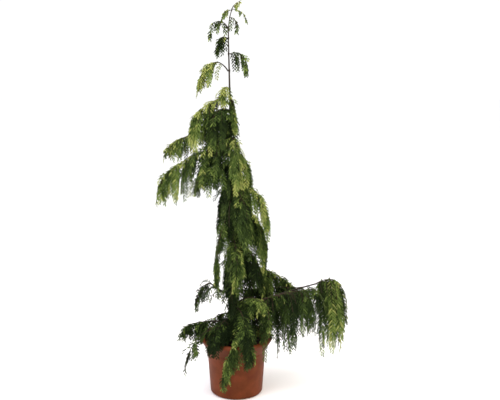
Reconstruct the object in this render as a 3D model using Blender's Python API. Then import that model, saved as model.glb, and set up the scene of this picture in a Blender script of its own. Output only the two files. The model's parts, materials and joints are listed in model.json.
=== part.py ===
"""A weeping nootka cypress in its nursery pot.

The plant is 1.6 m tall. One slim trunk leans a little to the left and nods at the tip. Boughs
leave it at a few heights, arch over, and carry curtains of hanging foliage. The origin is the
centre of the pot's flat underside, +Z is up, and -Y is the side that the plant shows best.

An azimuth is measured from +X, counter-clockwise seen from above: 180 is the plant's left side
and 270 its front. Slopes are in degrees above level. Lengths are in metres.
"""

import math
import random
from collections import namedtuple

import bmesh
import bpy
from mathutils import Vector
from mathutils.bvhtree import BVHTree

# The moulded pot
POT_HEIGHT = 0.245
POT_RIM_RADIUS = 0.150
POT_MOUTH_RADIUS = 0.131
POT_SHOULDER_RADIUS = 0.1230
POT_FOOT_RADIUS = 0.109
POT_FOOT_FILLET = 0.012
POT_LIP_HEIGHT = 0.033
POT_WALL = 0.003
POT_FLOOR = 0.004
POT_SEGMENTS = 36

# The potting compost
COMPOST_TOP = 0.212
COMPOST_CROWN = 0.004

# The trunk
TRUNK_TOP = 1.588
TRUNK_FOOT_X = -0.001
TRUNK_LEAN = -0.029
TRUNK_NOD = 0.055
TRUNK_NOD_HEIGHT = 0.165
TRUNK_SWAY = 0.004
TRUNK_FOOT_RADIUS = 0.0125
TRUNK_TIP_RADIUS = 0.0016
ROOT_FLARE = 0.008
ROOT_FLARE_HEIGHT = 0.022
TRUNK_SIDES = 9
TRUNK_STATIONS = 24

# Limbs, stems and sprays
BOUGH_SIDES = 6
STEM_SIDES = 3
CLEARANCE = 0.00035
SEAT_STEPS = 24
SEAT_SAMPLES = 12
SEAT_FAR = 0.05
STEM_STEP = 0.036
STEM_TIP_SHARE = 0.45
SPRAY_STEP = 0.052
SPRAY_TRIES = 14
SPRAY_ROOT_SHARE = 0.3
END_SPRAY_SHARE = 0.36
SPRAY_MARGIN = 0.0009
SPRAY_CORE = 0.0016
SPRAY_CORE_SHARE = 0.42
SPRAY_KEEL = 0.0130
SPRAY_BEND = 0.42
SPRAY_BEND_LENGTH = 0.12
SPRAY_SPREAD = 72.0
SPRAY_SPREAD_VARIES = 26.0
SPRAY_ROLL_VARIES = 32.0
LOWEST_FOLIAGE = 0.006

Limb = namedtuple("Limb", "parent at azimuth length rise fall bend root tip")
Mass = namedtuple("Mass", "parent at azimuth length rise fall bend root sprays spray_length spray_width")
Piece = namedtuple("Piece", "points faces")

# Bare limbs: what each grows from, the height there on the trunk, its azimuth and length, the
# slope at its root and at its end, how early it bends, and its radius at the root and the end
BOUGHS = {
    "upper_left_bough": Limb("trunk", 1.340, 186, 0.054, 58, 18, 1.2, 0.0027, 0.0020),
    "left_arching_bough": Limb("trunk", 1.210, 190, 0.046, 43, 0, 1.5, 0.0042, 0.0032),
    "mid_left_bough": Limb("trunk", 1.066, 166, 0.156, 17, -16, 1.8, 0.0042, 0.0028),
    "long_left_bough": Limb("trunk", 1.001, 184, 0.130, 12, -10, 1.9, 0.0050, 0.0036),
    "lower_left_bough": Limb("trunk", 0.413, 182, 0.108, 16, 38, 0.6, 0.0044, 0.0030),
    "front_right_bough": Limb("trunk", 0.343, 335, 0.130, 45, 19, 1.3, 0.0056, 0.0042),
    "long_right_inner_bough": Limb("trunk", 0.243, 357, 0.200, 14, 80, 0.55, 0.0072, 0.0058),
    "long_right_outer_bough": Limb("long_right_inner_bough", None, 2, 0.220, 18, 15, 1.0, 0.0054, 0.0034),
    "pot_left_bough": Limb("trunk", 0.280, 187, 0.098, 30, -2, 1.6, 0.0046, 0.0034),
}

# Masses of foliage: the same values for the stem, then how many sprays hang from it, how long
# the longest is and how far its teeth stand out
MASSES = {
    "leader_spray": Mass("trunk", None, 12, 0.030, 52, 24, 1.0, 0.0014, 2, 0.032, 0.007),
    "leader_left_spray": Mass("trunk", 1.572, 188, 0.062, 50, -94, 0.55, 0.0013, 3, 0.040, 0.010),
    "leader_right_spray": Mass("trunk", 1.576, 350, 0.082, 8, -78, 0.8, 0.0013, 2, 0.030, 0.006),
    "crown_right_spray": Mass("trunk", 1.545, 322, 0.060, 22, -98, 0.65, 0.0014, 3, 0.052, 0.014),
    "crown_left_spray": Mass("trunk", 1.500, 168, 0.126, 72, -102, 0.95, 0.0018, 5, 0.060, 0.016),
    "crown_front_spray": Mass("trunk", 1.466, 207, 0.094, 68, -102, 0.6, 0.0018, 4, 0.082, 0.017),
    "upper_right_spray": Mass("trunk", 1.412, 12, 0.118, 24, -102, 0.95, 0.0020, 6, 0.078, 0.016),
    "upper_left_fall": Mass("upper_left_bough", None, 185, 0.146, 60, -80, 0.32, 0.0019, 6, 0.094, 0.019),
    "front_upper_spray": Mass("trunk", 1.270, 238, 0.066, 60, -98, 0.8, 0.0020, 3, 0.084, 0.018),
    "right_upper_fall": Mass("trunk", 1.242, 310, 0.150, -20, -90, 0.38, 0.0026, 4, 0.110, 0.016),
    "left_arching_fall": Mass("left_arching_bough", None, 188, 0.158, -28, -78, 2.2, 0.0030, 6, 0.215, 0.024),
    "front_left_fall": Mass("trunk", 1.185, 222, 0.125, 40, -84, 0.8, 0.0030, 4, 0.190, 0.024),
    "inner_left_fall": Mass("trunk", 1.180, 148, 0.115, 36, -86, 0.7, 0.0030, 4, 0.210, 0.025),
    "back_upper_fall": Mass("trunk", 1.140, 106, 0.190, 42, -88, 0.7, 0.0030, 4, 0.180, 0.024),
    "mid_left_fall": Mass("mid_left_bough", None, 172, 0.130, -11, -60, 1.9, 0.0026, 6, 0.105, 0.021),
    "left_middle_fall": Mass("trunk", 1.045, 198, 0.165, 18, -56, 1.1, 0.0032, 5, 0.190, 0.024),
    "long_left_fall": Mass("long_left_bough", None, 183, 0.226, -28, -74, 2.8, 0.0034, 8, 0.165, 0.022),
    "lower_left_front_fall": Mass("trunk", 0.960, 210, 0.155, 24, -60, 0.9, 0.0032, 5, 0.140, 0.024),
    "lower_left_back_fall": Mass("trunk", 0.974, 150, 0.170, 26, -60, 0.9, 0.0032, 5, 0.155, 0.024),
    "left_strand_upper": Mass("trunk", 0.952, 218, 0.170, 60, -96, 0.30, 0.0028, 4, 0.100, 0.018),
    "left_strand_lower": Mass("trunk", 0.756, 240, 0.240, 62, -98, 0.36, 0.0034, 5, 0.110, 0.016),
    "right_shoulder_fall": Mass("trunk", 1.014, 334, 0.150, 46, -92, 0.42, 0.0032, 4, 0.150, 0.021),
    "right_outer_fall": Mass("trunk", 0.874, 340, 0.235, 66, -98, 0.52, 0.0034, 6, 0.115, 0.018),
    "right_lower_fall": Mass("trunk", 0.762, 10, 0.220, 62, -90, 0.50, 0.0034, 7, 0.165, 0.021),
    "front_fall_upper": Mass("trunk", 1.080, 288, 0.190, 38, -94, 0.42, 0.0032, 5, 0.150, 0.022),
    "front_fall_middle": Mass("trunk", 0.858, 300, 0.200, 58, -96, 0.42, 0.0034, 5, 0.150, 0.022),
    "front_fall_left": Mass("trunk", 0.836, 246, 0.170, 50, -96, 0.45, 0.0034, 4, 0.150, 0.022),
    "front_fall_lower": Mass("trunk", 0.660, 276, 0.200, 50, -92, 0.42, 0.0034, 5, 0.150, 0.022),
    "front_fall_right": Mass("trunk", 0.560, 322, 0.190, 40, -90, 0.45, 0.0034, 4, 0.140, 0.022),
    "front_fall_foot": Mass("trunk", 0.500, 262, 0.150, 40, -88, 0.45, 0.0034, 4, 0.130, 0.020),
    "back_fall_right": Mass("trunk", 0.930, 56, 0.200, 40, -92, 0.42, 0.0032, 4, 0.160, 0.023),
    "back_middle_fall": Mass("trunk", 0.850, 108, 0.290, 44, -88, 0.60, 0.0036, 5, 0.170, 0.024),
    "back_fall_middle": Mass("trunk", 0.690, 78, 0.210, 46, -92, 0.42, 0.0034, 5, 0.160, 0.023),
    "back_fall_left": Mass("trunk", 0.570, 136, 0.210, 40, -90, 0.42, 0.0034, 5, 0.150, 0.023),
    "dark_right_fall": Mass("trunk", 0.580, 20, 0.275, 42, -50, 0.30, 0.0036, 8, 0.170, 0.024),
    "right_curtain": Mass("front_right_bough", None, 354, 0.210, 20, 9, 1.0, 0.0040, 8, 0.270, 0.025),
    "right_inner_curtain": Mass("trunk", 0.430, 14, 0.280, 8, -10, 1.0, 0.0040, 6, 0.220, 0.024),
    "right_end_curtain": Mass("long_right_outer_bough", None, 2, 0.096, 20, -36, 1.4, 0.0032, 7, 0.330, 0.019),
    "lower_left_fall": Mass("lower_left_bough", None, 182, 0.108, 52, -86, 0.3, 0.0028, 5, 0.090, 0.017),
    "pot_left_fall": Mass("pot_left_bough", None, 185, 0.134, -4, -62, 2.6, 0.0032, 6, 0.090, 0.021),
    "pot_left_strand": Mass("trunk", 0.283, 226, 0.300, 22, -84, 1.3, 0.0036, 5, 0.090, 0.017),
    "pot_front_left_fall": Mass("trunk", 0.318, 240, 0.200, 30, -66, 1.0, 0.0036, 4, 0.110, 0.021),
    "pot_front_strand": Mass("trunk", 0.345, 262, 0.330, 26, -88, 0.8, 0.0038, 6, 0.110, 0.020),
    "pot_front_right_fall": Mass("trunk", 0.365, 290, 0.280, 28, -86, 0.8, 0.0038, 6, 0.120, 0.022),
    "pot_right_fall": Mass("trunk", 0.384, 318, 0.215, 36, -98, 1.6, 0.0038, 5, 0.130, 0.020),
    "pot_back_left_fall": Mass("trunk", 0.325, 130, 0.240, 26, -78, 0.9, 0.0038, 5, 0.130, 0.022),
    "pot_back_right_fall": Mass("trunk", 0.350, 48, 0.250, 26, -80, 0.9, 0.0038, 5, 0.130, 0.022),
}


def clear_scene():
    """Remove every object that the scene starts with."""
    for item in list(bpy.data.objects):
        bpy.data.objects.remove(item, do_unlink=True)


def make_material(name, colour, roughness):
    """Make a plain opaque material."""
    material = bpy.data.materials.new(name)
    material.use_nodes = True
    shader = material.node_tree.nodes["Principled BSDF"]
    shader.inputs["Base Color"].default_value = (*colour, 1.0)
    shader.inputs["Roughness"].default_value = roughness
    shader.inputs["Metallic"].default_value = 0.0
    material.diffuse_color = (*colour, 1.0)
    return material


def add_object(name, piece, material, smooth_angle=None):
    """Turn points and faces into a named object whose faces point outwards."""
    mesh = bpy.data.meshes.new(name)
    mesh.from_pydata([tuple(point) for point in piece.points], [], piece.faces)
    shape = bmesh.new()
    shape.from_mesh(mesh)
    bmesh.ops.recalc_face_normals(shape, faces=shape.faces)
    shape.to_mesh(mesh)
    shape.free()
    mesh.materials.append(material)
    if smooth_angle is not None:
        mesh.shade_smooth()
        mesh.set_sharp_from_angle(angle=math.radians(smooth_angle))
    item = bpy.data.objects.new(name, mesh)
    bpy.context.scene.collection.objects.link(item)
    return item


def arc(centre, radius, first, last, steps):
    """Points of a round stretch in a profile, by radius and height."""
    angles = [math.radians(first + (last - first) * k / steps) for k in range(steps + 1)]
    return [(centre[0] + radius * math.cos(a), centre[1] + radius * math.sin(a)) for a in angles]


def turned(profile, segments):
    """Spin a profile, given from the axis back to the axis, about the Z axis."""
    points = [Vector((0.0, 0.0, profile[0][1]))]
    faces = []
    rings = profile[1:-1]
    for radius, height in rings:
        for k in range(segments):
            angle = math.tau * k / segments
            points.append(Vector((radius * math.cos(angle), radius * math.sin(angle), height)))
    points.append(Vector((0.0, 0.0, profile[-1][1])))
    last = len(points) - 1
    for k in range(segments):
        following = (k + 1) % segments
        faces.append((0, 1 + following, 1 + k))
        for ring in range(len(rings) - 1):
            low = 1 + ring * segments
            high = low + segments
            faces.append((low + k, low + following, high + following, high + k))
        top = 1 + (len(rings) - 1) * segments
        faces.append((top + k, top + following, last))
    return Piece(points, faces)


def wall_radius(height):
    """Outer radius of the pot's wall between its foot and its shoulder."""
    shoulder = POT_HEIGHT - POT_LIP_HEIGHT
    share = (height - POT_FOOT_FILLET) / (shoulder - POT_FOOT_FILLET)
    return POT_FOOT_RADIUS + (POT_SHOULDER_RADIUS - POT_FOOT_RADIUS) * share


def pot_piece():
    """The pot: flat foot, slightly tapered wall and a fat rolled lip."""
    shoulder = POT_HEIGHT - POT_LIP_HEIGHT
    lip_radius = 0.5 * (POT_RIM_RADIUS - POT_MOUTH_RADIUS)
    lip_centre = (POT_RIM_RADIUS - lip_radius, POT_HEIGHT - lip_radius)
    foot_centre = (POT_FOOT_RADIUS - POT_FOOT_FILLET, POT_FOOT_FILLET)
    profile = [(0.0, 0.0)]
    profile += arc(foot_centre, POT_FOOT_FILLET, -90, 0, 3)
    profile += [(POT_SHOULDER_RADIUS, shoulder)]
    profile += arc(lip_centre, lip_radius, -50, 180, 7)
    profile += [(POT_SHOULDER_RADIUS - POT_WALL + 0.001, shoulder)]
    profile += [(wall_radius(POT_FOOT_FILLET) - POT_WALL, POT_FLOOR)]
    profile += [(0.0, POT_FLOOR)]
    return turned(profile, POT_SEGMENTS)


def compost_piece():
    """The compost fills the pot to a little below the lip, a hair clear of the wall."""
    gap = 2 * CLEARANCE
    low = wall_radius(POT_FOOT_FILLET) - POT_WALL - gap
    high = wall_radius(COMPOST_TOP) - POT_WALL - gap
    profile = [
        (0.0, POT_FLOOR + CLEARANCE),
        (low, POT_FLOOR + CLEARANCE),
        (high, COMPOST_TOP - COMPOST_CROWN),
        (0.55 * high, COMPOST_TOP),
        (0.0, COMPOST_TOP),
    ]
    return turned(profile, POT_SEGMENTS)


def trunk_centre(height):
    """Where the trunk's axis is at a height: a slight lean and sway, and a nodding tip."""
    share = (height - COMPOST_TOP) / (TRUNK_TOP - COMPOST_TOP)
    nod = max(0.0, (height - (TRUNK_TOP - TRUNK_NOD_HEIGHT)) / TRUNK_NOD_HEIGHT)
    x = TRUNK_FOOT_X + TRUNK_LEAN * share + 0.4 * TRUNK_NOD * nod ** 3.5
    y = TRUNK_SWAY * math.sin(math.tau * share)
    return Vector((x, y, height))


def trunk_radius(height):
    """The trunk's radius at a height, with the root flare at its foot."""
    share = (height - COMPOST_TOP) / (TRUNK_TOP - COMPOST_TOP)
    plain = TRUNK_FOOT_RADIUS + (TRUNK_TIP_RADIUS - TRUNK_FOOT_RADIUS) * share ** 0.8
    return plain + ROOT_FLARE * math.exp(-(height - COMPOST_TOP) / ROOT_FLARE_HEIGHT)


def arch(start, limb, steps):
    """Points along a limb whose slope turns from its rise to its fall."""
    points = [start.copy()]
    azimuth = math.radians(limb.azimuth)
    for k in range(steps):
        share = (k + 0.5) / steps
        slope = math.radians(limb.rise + (limb.fall - limb.rise) * share ** limb.bend)
        heading = Vector((math.cos(slope) * math.cos(azimuth), math.cos(slope) * math.sin(azimuth),
                          math.sin(slope)))
        points.append(points[-1] + heading * (limb.length / steps))
    return points


def frames(points, azimuth):
    """The heading, the level side and the normal at each point of a limb."""
    side = Vector((-math.sin(math.radians(azimuth)), math.cos(math.radians(azimuth)), 0.0))
    result = []
    for k in range(len(points)):
        heading = (points[min(k + 1, len(points) - 1)] - points[max(k - 1, 0)]).normalized()
        result.append((heading, side, heading.cross(side).normalized()))
    return result


def tube(points, radii, sides, azimuth):
    """A tapering limb with flat ends."""
    ring_points = []
    faces = []
    for point, radius, (heading, side, normal) in zip(points, radii, frames(points, azimuth)):
        for k in range(sides):
            angle = math.tau * k / sides
            ring_points.append(point + radius * (math.cos(angle) * normal + math.sin(angle) * side))
    for ring in range(len(points) - 1):
        low = ring * sides
        for k in range(sides):
            following = (k + 1) % sides
            faces.append((low + k, low + following, low + sides + following, low + sides + k))
    faces.append(tuple(range(sides - 1, -1, -1)))
    last = (len(points) - 1) * sides
    faces.append(tuple(range(last, last + sides)))
    return Piece(ring_points, faces)


def swell(share):
    """How wide a spray is at a share of its length, as a share of its greatest width."""
    return 1.74 * (share + 0.15) ** 0.5 * (1.14 - share) ** 0.8


def spray(points, azimuth, roll, width, margin=0.0):
    """A toothed blade: a keeled core with a pair of forward-pointing teeth at each step."""
    keel = max(SPRAY_CORE, SPRAY_KEEL * (points[-1] - points[0]).length) + margin
    steps = len(points) - 1
    turn = math.radians(roll)
    corners = []
    teeth = []
    for k, (heading, side, normal) in enumerate(frames(points, azimuth)):
        share = k / steps
        across = math.cos(turn) * side + math.sin(turn) * normal
        down = across.cross(heading).normalized()
        core = SPRAY_CORE + (SPRAY_CORE_SHARE * width * swell(share) if k else 0.0) + margin
        lift = points[k] - margin * down
        corners += [lift + core * across, lift - core * across, points[k] + keel * down]
        if k:
            ahead = 0.15 * (points[k] - points[k - 1]).length
            reach = width * swell(share - 0.4 / steps) + margin
            for sign in (1, -1):
                teeth.append(points[k] + ahead * heading + sign * reach * across + 0.12 * reach * down)
    faces = []
    first_tip = len(corners)
    for k in range(steps):
        a = 3 * k
        b = a + 3
        left = first_tip + 2 * k
        right = left + 1
        faces += [(a, a + 1, b + 1), (a, b + 1, b)]
        faces += [(a, b, left), (a + 2, left, b + 2), (a, left, a + 2), (b, b + 2, left)]
        faces += [(a + 1, right, b + 1), (a + 2, b + 2, right), (a + 1, a + 2, right), (b + 1, right, b + 2)]
    end = 3 * steps
    corners += teeth
    corners.append(points[-1] + 0.5 * (points[-1] - points[-2]))
    peak = len(corners) - 1
    faces += [(0, 2, 1), (end, end + 1, peak), (end + 1, end + 2, peak), (end + 2, end, peak)]
    return Piece(corners, faces)


def tree_of(piece):
    """A search tree of a piece's faces."""
    return BVHTree.FromPolygons(piece.points, piece.faces)


def corners_of(piece):
    """The lowest and highest corner of a piece."""
    low = Vector([min(point[axis] for point in piece.points) for axis in range(3)])
    high = Vector([max(point[axis] for point in piece.points) for axis in range(3)])
    return low, high


class Model:
    """Every solid placed so far, and where each limb ends."""

    def __init__(self):
        self.placed = {}
        self.trees = {}
        self.ends = {}

    def carry(self, node, piece, end):
        """Keep a limb that others grow from, with its end."""
        self.place(node, piece)
        self.trees[node] = tree_of(piece)
        self.ends[node] = end

    def place(self, node, piece):
        """Keep a piece of a node for the clearance tests."""
        self.placed.setdefault(node, []).append((piece, tree_of(piece), corners_of(piece)))

    def blocked(self, node, piece):
        """Tell whether a piece would touch another node's solids."""
        low, high = corners_of(piece)
        tree = None
        for other, entries in self.placed.items():
            if other == node:
                continue
            for _, other_tree, (other_low, other_high) in entries:
                if any(low[axis] > other_high[axis] or high[axis] < other_low[axis] for axis in range(3)):
                    continue
                tree = tree or tree_of(piece)
                if tree.overlap(other_tree):
                    return True
        return False

    def blocked_by_own(self, node, piece):
        """Tell whether the free part of a spray would touch its own mass."""
        tree = tree_of(piece)
        return any(tree.overlap(other_tree) for _, other_tree, _ in self.placed.get(node, []))


def seat(anchor, outward, onward, side, radius, tree):
    """Slide a limb's flat root face up to what carries it, and stop a hair clear."""
    normal = onward.cross(side).normalized()
    offsets = [Vector()]
    for share in (0.5, 1.0):
        for k in range(SEAT_SAMPLES):
            angle = math.tau * k / SEAT_SAMPLES
            offsets.append(share * radius * (math.cos(angle) * normal + math.sin(angle) * side))
    distance = SEAT_FAR
    for _ in range(SEAT_STEPS):
        start = anchor + distance * outward
        distance -= min(tree.find_nearest(start + offset)[3] for offset in offsets) - CLEARANCE
    return anchor + distance * outward


def grow(limb, steps, model):
    """A limb's path from its seat, on the trunk or at another limb's end."""
    path = arch(Vector(), limb, steps)
    onward = (path[1] - path[0]).normalized()
    azimuth = math.radians(limb.azimuth)
    outward = Vector((math.cos(azimuth), math.sin(azimuth), 0.0))
    side = Vector((-outward.y, outward.x, 0.0))
    if limb.at:
        start = seat(trunk_centre(limb.at), outward, onward, side, limb.root, model.trees["trunk"])
    else:
        start = seat(model.ends[limb.parent], onward, onward, side, limb.root, model.trees[limb.parent])
    return [start + point for point in path]


def taper(first, last, count):
    """Radii that shrink evenly along a limb."""
    return [first + (last - first) * k / (count - 1) for k in range(count)]


def spray_path(mass, path, index, attempt):
    """The seeded rule for one spray: where it leaves the stem, and how it turns to hang."""
    draw = random.Random(f"{mass.parent}:{mass.at}:{mass.azimuth}:{index}:{attempt}")
    share = (index + 0.45 + 0.35 * draw.uniform(-1, 1)) / mass.sprays
    share = 0.05 + 0.93 * min(1.0, share)
    place = share * (len(path) - 1)
    low = min(int(place), len(path) - 2)
    start = path[low].lerp(path[low + 1], place - low)
    along = (path[low + 1] - path[low]).normalized()
    slope = math.degrees(math.asin(max(-1.0, min(1.0, along.z))))
    turn = SPRAY_SPREAD + SPRAY_SPREAD_VARIES * draw.uniform(-1, 1)
    azimuth = mass.azimuth + (turn if index % 2 else -turn)
    length = mass.spray_length * (1.0 - 0.42 * share) * draw.uniform(0.84, 1.06) * 0.94 ** attempt
    rise = 0.5 * slope - 6.0 + 8.0 * draw.uniform(-1, 1)
    fall = -87.0 + 4.0 * draw.uniform(-1, 1)
    bend = SPRAY_BEND * min(1.0, SPRAY_BEND_LENGTH / length)
    limb = Limb(None, None, azimuth, length, rise, fall, bend, None, None)
    steps = max(2, round(length / SPRAY_STEP))
    roll = SPRAY_ROLL_VARIES * draw.uniform(-1, 1)
    return arch(start, limb, steps), azimuth, roll


def end_spray_path(mass, path):
    """The spray that carries the stem on to the mass's furthest tip."""
    along = path[-1] - path[-2]
    slope = math.degrees(math.asin(max(-1.0, min(1.0, along.normalized().z))))
    length = END_SPRAY_SHARE * mass.spray_length
    limb = Limb(None, None, mass.azimuth, length, slope, min(slope - 10.0, -84.0), 0.4, None, None)
    if mass.rise > 45:
        limb = limb._replace(fall=slope)
    return arch(path[-1] - 0.3 * along, limb, max(2, round(length / SPRAY_STEP)))


def union(name, pieces, material):
    """Join a stem and its sprays into one solid."""
    stem = add_object(name, pieces[0], material)
    group = bpy.data.collections.new(name + "_sprays")
    bpy.context.scene.collection.children.link(group)
    for number, piece in enumerate(pieces[1:]):
        item = add_object(f"{name}_spray_{number}", piece, material)
        bpy.context.scene.collection.objects.unlink(item)
        group.objects.link(item)
    join = stem.modifiers.new("join", "BOOLEAN")
    join.operation = "UNION"
    join.operand_type = "COLLECTION"
    join.collection = group
    for solver in ("EXACT", "MANIFOLD"):
        join.solver = solver
        graph = bpy.context.evaluated_depsgraph_get()
        mesh = bpy.data.meshes.new_from_object(stem.evaluated_get(graph))
        if is_closed(mesh):
            break
    stem.modifiers.clear()
    stem.data = mesh
    mesh.name = name
    for item in list(group.objects):
        bpy.data.objects.remove(item, do_unlink=True)
    bpy.data.collections.remove(group)
    return stem


def is_closed(mesh):
    """Tell whether a mesh is one closed body, after dropping loose scraps."""
    shape = bmesh.new()
    shape.from_mesh(mesh)
    bmesh.ops.triangulate(shape, faces=shape.faces)
    shape.verts.ensure_lookup_table()
    seen = set()
    bodies = []
    for vertex in shape.verts:
        if vertex in seen:
            continue
        body = [vertex]
        seen.add(vertex)
        for current in body:
            for edge in current.link_edges:
                other = edge.other_vert(current)
                if other not in seen:
                    seen.add(other)
                    body.append(other)
        bodies.append(body)
    bodies.sort(key=len)
    for body in bodies[:-1]:
        bmesh.ops.delete(shape, geom=body, context="VERTS")
    closed = bool(shape.faces) and all(edge.is_manifold for edge in shape.edges)
    shape.to_mesh(mesh)
    shape.free()
    return closed


def build_limbs(model, bark):
    """Make the bare boughs."""
    for name, limb in BOUGHS.items():
        path = grow(limb, max(3, round(limb.length / STEM_STEP)), model)
        piece = tube(path, taper(limb.root, limb.tip, len(path)), BOUGH_SIDES, limb.azimuth)
        add_object(name, piece, bark, 40)
        model.carry(name, piece, path[-1])


def build_masses(model, foliage):
    """Grow every mass: all stems first, then the sprays in turn, so that none crowds another."""
    paths = {}
    pieces = {}
    for name, mass in MASSES.items():
        path = grow(mass, max(4, round(mass.length / STEM_STEP)), model)
        piece = tube(path, taper(mass.root, STEM_TIP_SHARE * mass.root, len(path)), STEM_SIDES,
                     mass.azimuth)
        paths[name] = path
        pieces[name] = [piece]
        model.place(name, piece)
    for name, mass in MASSES.items():
        path = end_spray_path(mass, paths[name])
        if not model.blocked(name, spray(path, mass.azimuth, 0.0, 0.8 * mass.spray_width, SPRAY_MARGIN)):
            piece = spray(path, mass.azimuth, 0.0, 0.8 * mass.spray_width)
            pieces[name].append(piece)
            model.place(name, piece)
    for index in range(max(mass.sprays for mass in MASSES.values())):
        for name, mass in MASSES.items():
            if index >= mass.sprays:
                continue
            for attempt in range(SPRAY_TRIES):
                path, azimuth, roll = spray_path(mass, paths[name], index, attempt)
                tested = spray(path, azimuth, roll, mass.spray_width, SPRAY_MARGIN)
                if min(point.z for point in tested.points) < LOWEST_FOLIAGE:
                    continue
                free = [path[0].lerp(path[1], SPRAY_ROOT_SHARE)] + path[1:]
                if model.blocked_by_own(name, spray(free, azimuth, roll, mass.spray_width)):
                    continue
                if not model.blocked(name, tested):
                    piece = spray(path, azimuth, roll, mass.spray_width)
                    pieces[name].append(piece)
                    model.place(name, piece)
                    break
    for name in MASSES:
        union(name, pieces[name], foliage)


def main():
    """Build the pot, the compost, the trunk, the boughs and the foliage."""
    clear_scene()
    terracotta = make_material("terracotta_plastic", (0.29, 0.082, 0.043), 0.55)
    earth = make_material("compost", (0.030, 0.020, 0.014), 0.95)
    bark = make_material("bark", (0.115, 0.066, 0.040), 0.85)
    foliage = make_material("foliage", (0.070, 0.125, 0.028), 0.60)
    model = Model()
    pot = pot_piece()
    compost = compost_piece()
    add_object("pot", pot, terracotta, 40)
    add_object("compost", compost, earth, 40)
    model.place("pot", pot)
    model.place("compost", compost)
    foot = COMPOST_TOP + CLEARANCE
    heights = [foot + (TRUNK_TOP - foot) * (k / (TRUNK_STATIONS - 1)) ** 1.25 for k in range(TRUNK_STATIONS)]
    path = [trunk_centre(height) for height in heights]
    trunk = tube(path, [trunk_radius(height) for height in heights], TRUNK_SIDES, 0.0)
    level = [Vector((point.x, point.y, foot)) for point in trunk.points[:TRUNK_SIDES]]
    trunk = Piece(level + trunk.points[TRUNK_SIDES:], trunk.faces)
    add_object("trunk", trunk, bark, 40)
    model.carry("trunk", trunk, path[-1])
    build_limbs(model, bark)
    build_masses(model, foliage)


if __name__ == "__main__":
    main()
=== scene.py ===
"""The looks of a potted weeping nootka cypress, dressed around its solids.

The pot, the compost, the trunk and the boughs are made again with their real surfaces. Each mass
of foliage is grown again from the source's own rule: the same stems, with more and finer hanging
twigs, each set with laterals and those with ultimate twigs, the small scale-covered shoots that a
cypress has in place of needles. Lengths are in metres and slopes in degrees above level. An
azimuth is measured from +X, counter-clockwise seen from above.
"""

import json
import logging
import math
import random
from collections.abc import Iterator
from dataclasses import dataclass, field
from enum import Enum

import bpy
import numpy as np
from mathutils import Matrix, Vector, noise
from numpy.typing import NDArray

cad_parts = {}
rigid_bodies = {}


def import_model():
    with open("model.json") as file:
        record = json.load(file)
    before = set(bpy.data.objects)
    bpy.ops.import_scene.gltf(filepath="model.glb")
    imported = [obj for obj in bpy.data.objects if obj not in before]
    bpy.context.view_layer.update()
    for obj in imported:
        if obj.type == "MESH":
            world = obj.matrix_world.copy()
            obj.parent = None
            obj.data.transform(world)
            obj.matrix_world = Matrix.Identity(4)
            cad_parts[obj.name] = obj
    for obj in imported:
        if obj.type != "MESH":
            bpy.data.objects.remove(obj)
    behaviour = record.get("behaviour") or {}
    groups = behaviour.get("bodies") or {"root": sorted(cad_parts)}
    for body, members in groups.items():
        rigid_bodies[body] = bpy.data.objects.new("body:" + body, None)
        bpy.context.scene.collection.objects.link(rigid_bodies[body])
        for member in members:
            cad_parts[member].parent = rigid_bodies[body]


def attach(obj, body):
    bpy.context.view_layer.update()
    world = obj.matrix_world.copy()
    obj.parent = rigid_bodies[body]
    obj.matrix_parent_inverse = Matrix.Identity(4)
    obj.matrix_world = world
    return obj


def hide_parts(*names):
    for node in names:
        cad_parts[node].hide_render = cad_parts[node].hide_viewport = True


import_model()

Array = NDArray[np.float64]
Faces = NDArray[np.int64]
Mask = NDArray[np.bool_]
Colour = tuple[float, float, float, float]
Span = tuple[float, float]
Material = bpy.types.Material
Node = bpy.types.Node
Socket = bpy.types.NodeSocket

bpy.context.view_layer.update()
BODY = "root"
DOWN = np.array([0.0, 0.0, -1.0])

# One piece's limit, and how far apart the source's points lie along a stem.
MOST_TRIANGLES = 190_000
SOURCE_STEP = 0.036

# A swaying limb's waves, in radians from end to end, and its turn sideways against its sway up.
SWAY_WAVES = 6.0
SWAY_TURN = 2.0

log = logging.getLogger("cypress")


def linear(colour: str) -> Colour:
    """Turn an sRGB hex colour into the linear values that a shader takes.

    Args:
        colour: the colour as "#rrggbb".

    Returns:
        Red, green, blue and an alpha of 1.
    """
    parts = [int(colour[k:k + 2], 16) / 255 for k in (1, 3, 5)]
    red, green, blue = (p / 12.92 if p <= 0.04045 else ((p + 0.055) / 1.055) ** 2.4 for p in parts)
    return red, green, blue, 1.0


def per_mm(size: float) -> float:
    """The texture scale whose pattern repeats about every size millimetres."""
    return 1000.0 / size


def unit(vectors: Array) -> Array:
    """Vectors of the same directions and of length 1."""
    return vectors / np.linalg.norm(vectors, axis=-1, keepdims=True)


def heading_of(slope: Array, azimuth: Array) -> Array:
    """Directions from slopes and azimuths.

    Args:
        slope: the slopes in degrees above level.
        azimuth: the azimuths in degrees.

    Returns:
        Unit vectors.
    """
    rise = np.radians(slope)
    turn = np.radians(azimuth)
    return np.stack([np.cos(rise) * np.cos(turn), np.cos(rise) * np.sin(turn), np.sin(rise)], -1)


def slope_of(direction: Array) -> float:
    """The slope of a direction, in degrees above level."""
    return math.degrees(math.asin(max(-1.0, min(1.0, unit(direction)[2]))))


def distances(path: Array) -> Array:
    """How far along a path each of its points lies."""
    return np.concatenate([[0.0], np.cumsum(np.linalg.norm(np.diff(path, axis=0), axis=1))])


def sample(values: Array, along: Array, places: Array | float) -> Array:
    """The vectors at some distances along a path, between those kept at its points."""
    return np.stack([np.interp(places, along, values[:, k]) for k in range(3)], -1)


def side_of(azimuth: float) -> Array:
    """The level direction across a limb of an azimuth in degrees."""
    turn = math.radians(azimuth)
    return np.array([-math.sin(turn), math.cos(turn), 0.0])


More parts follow.
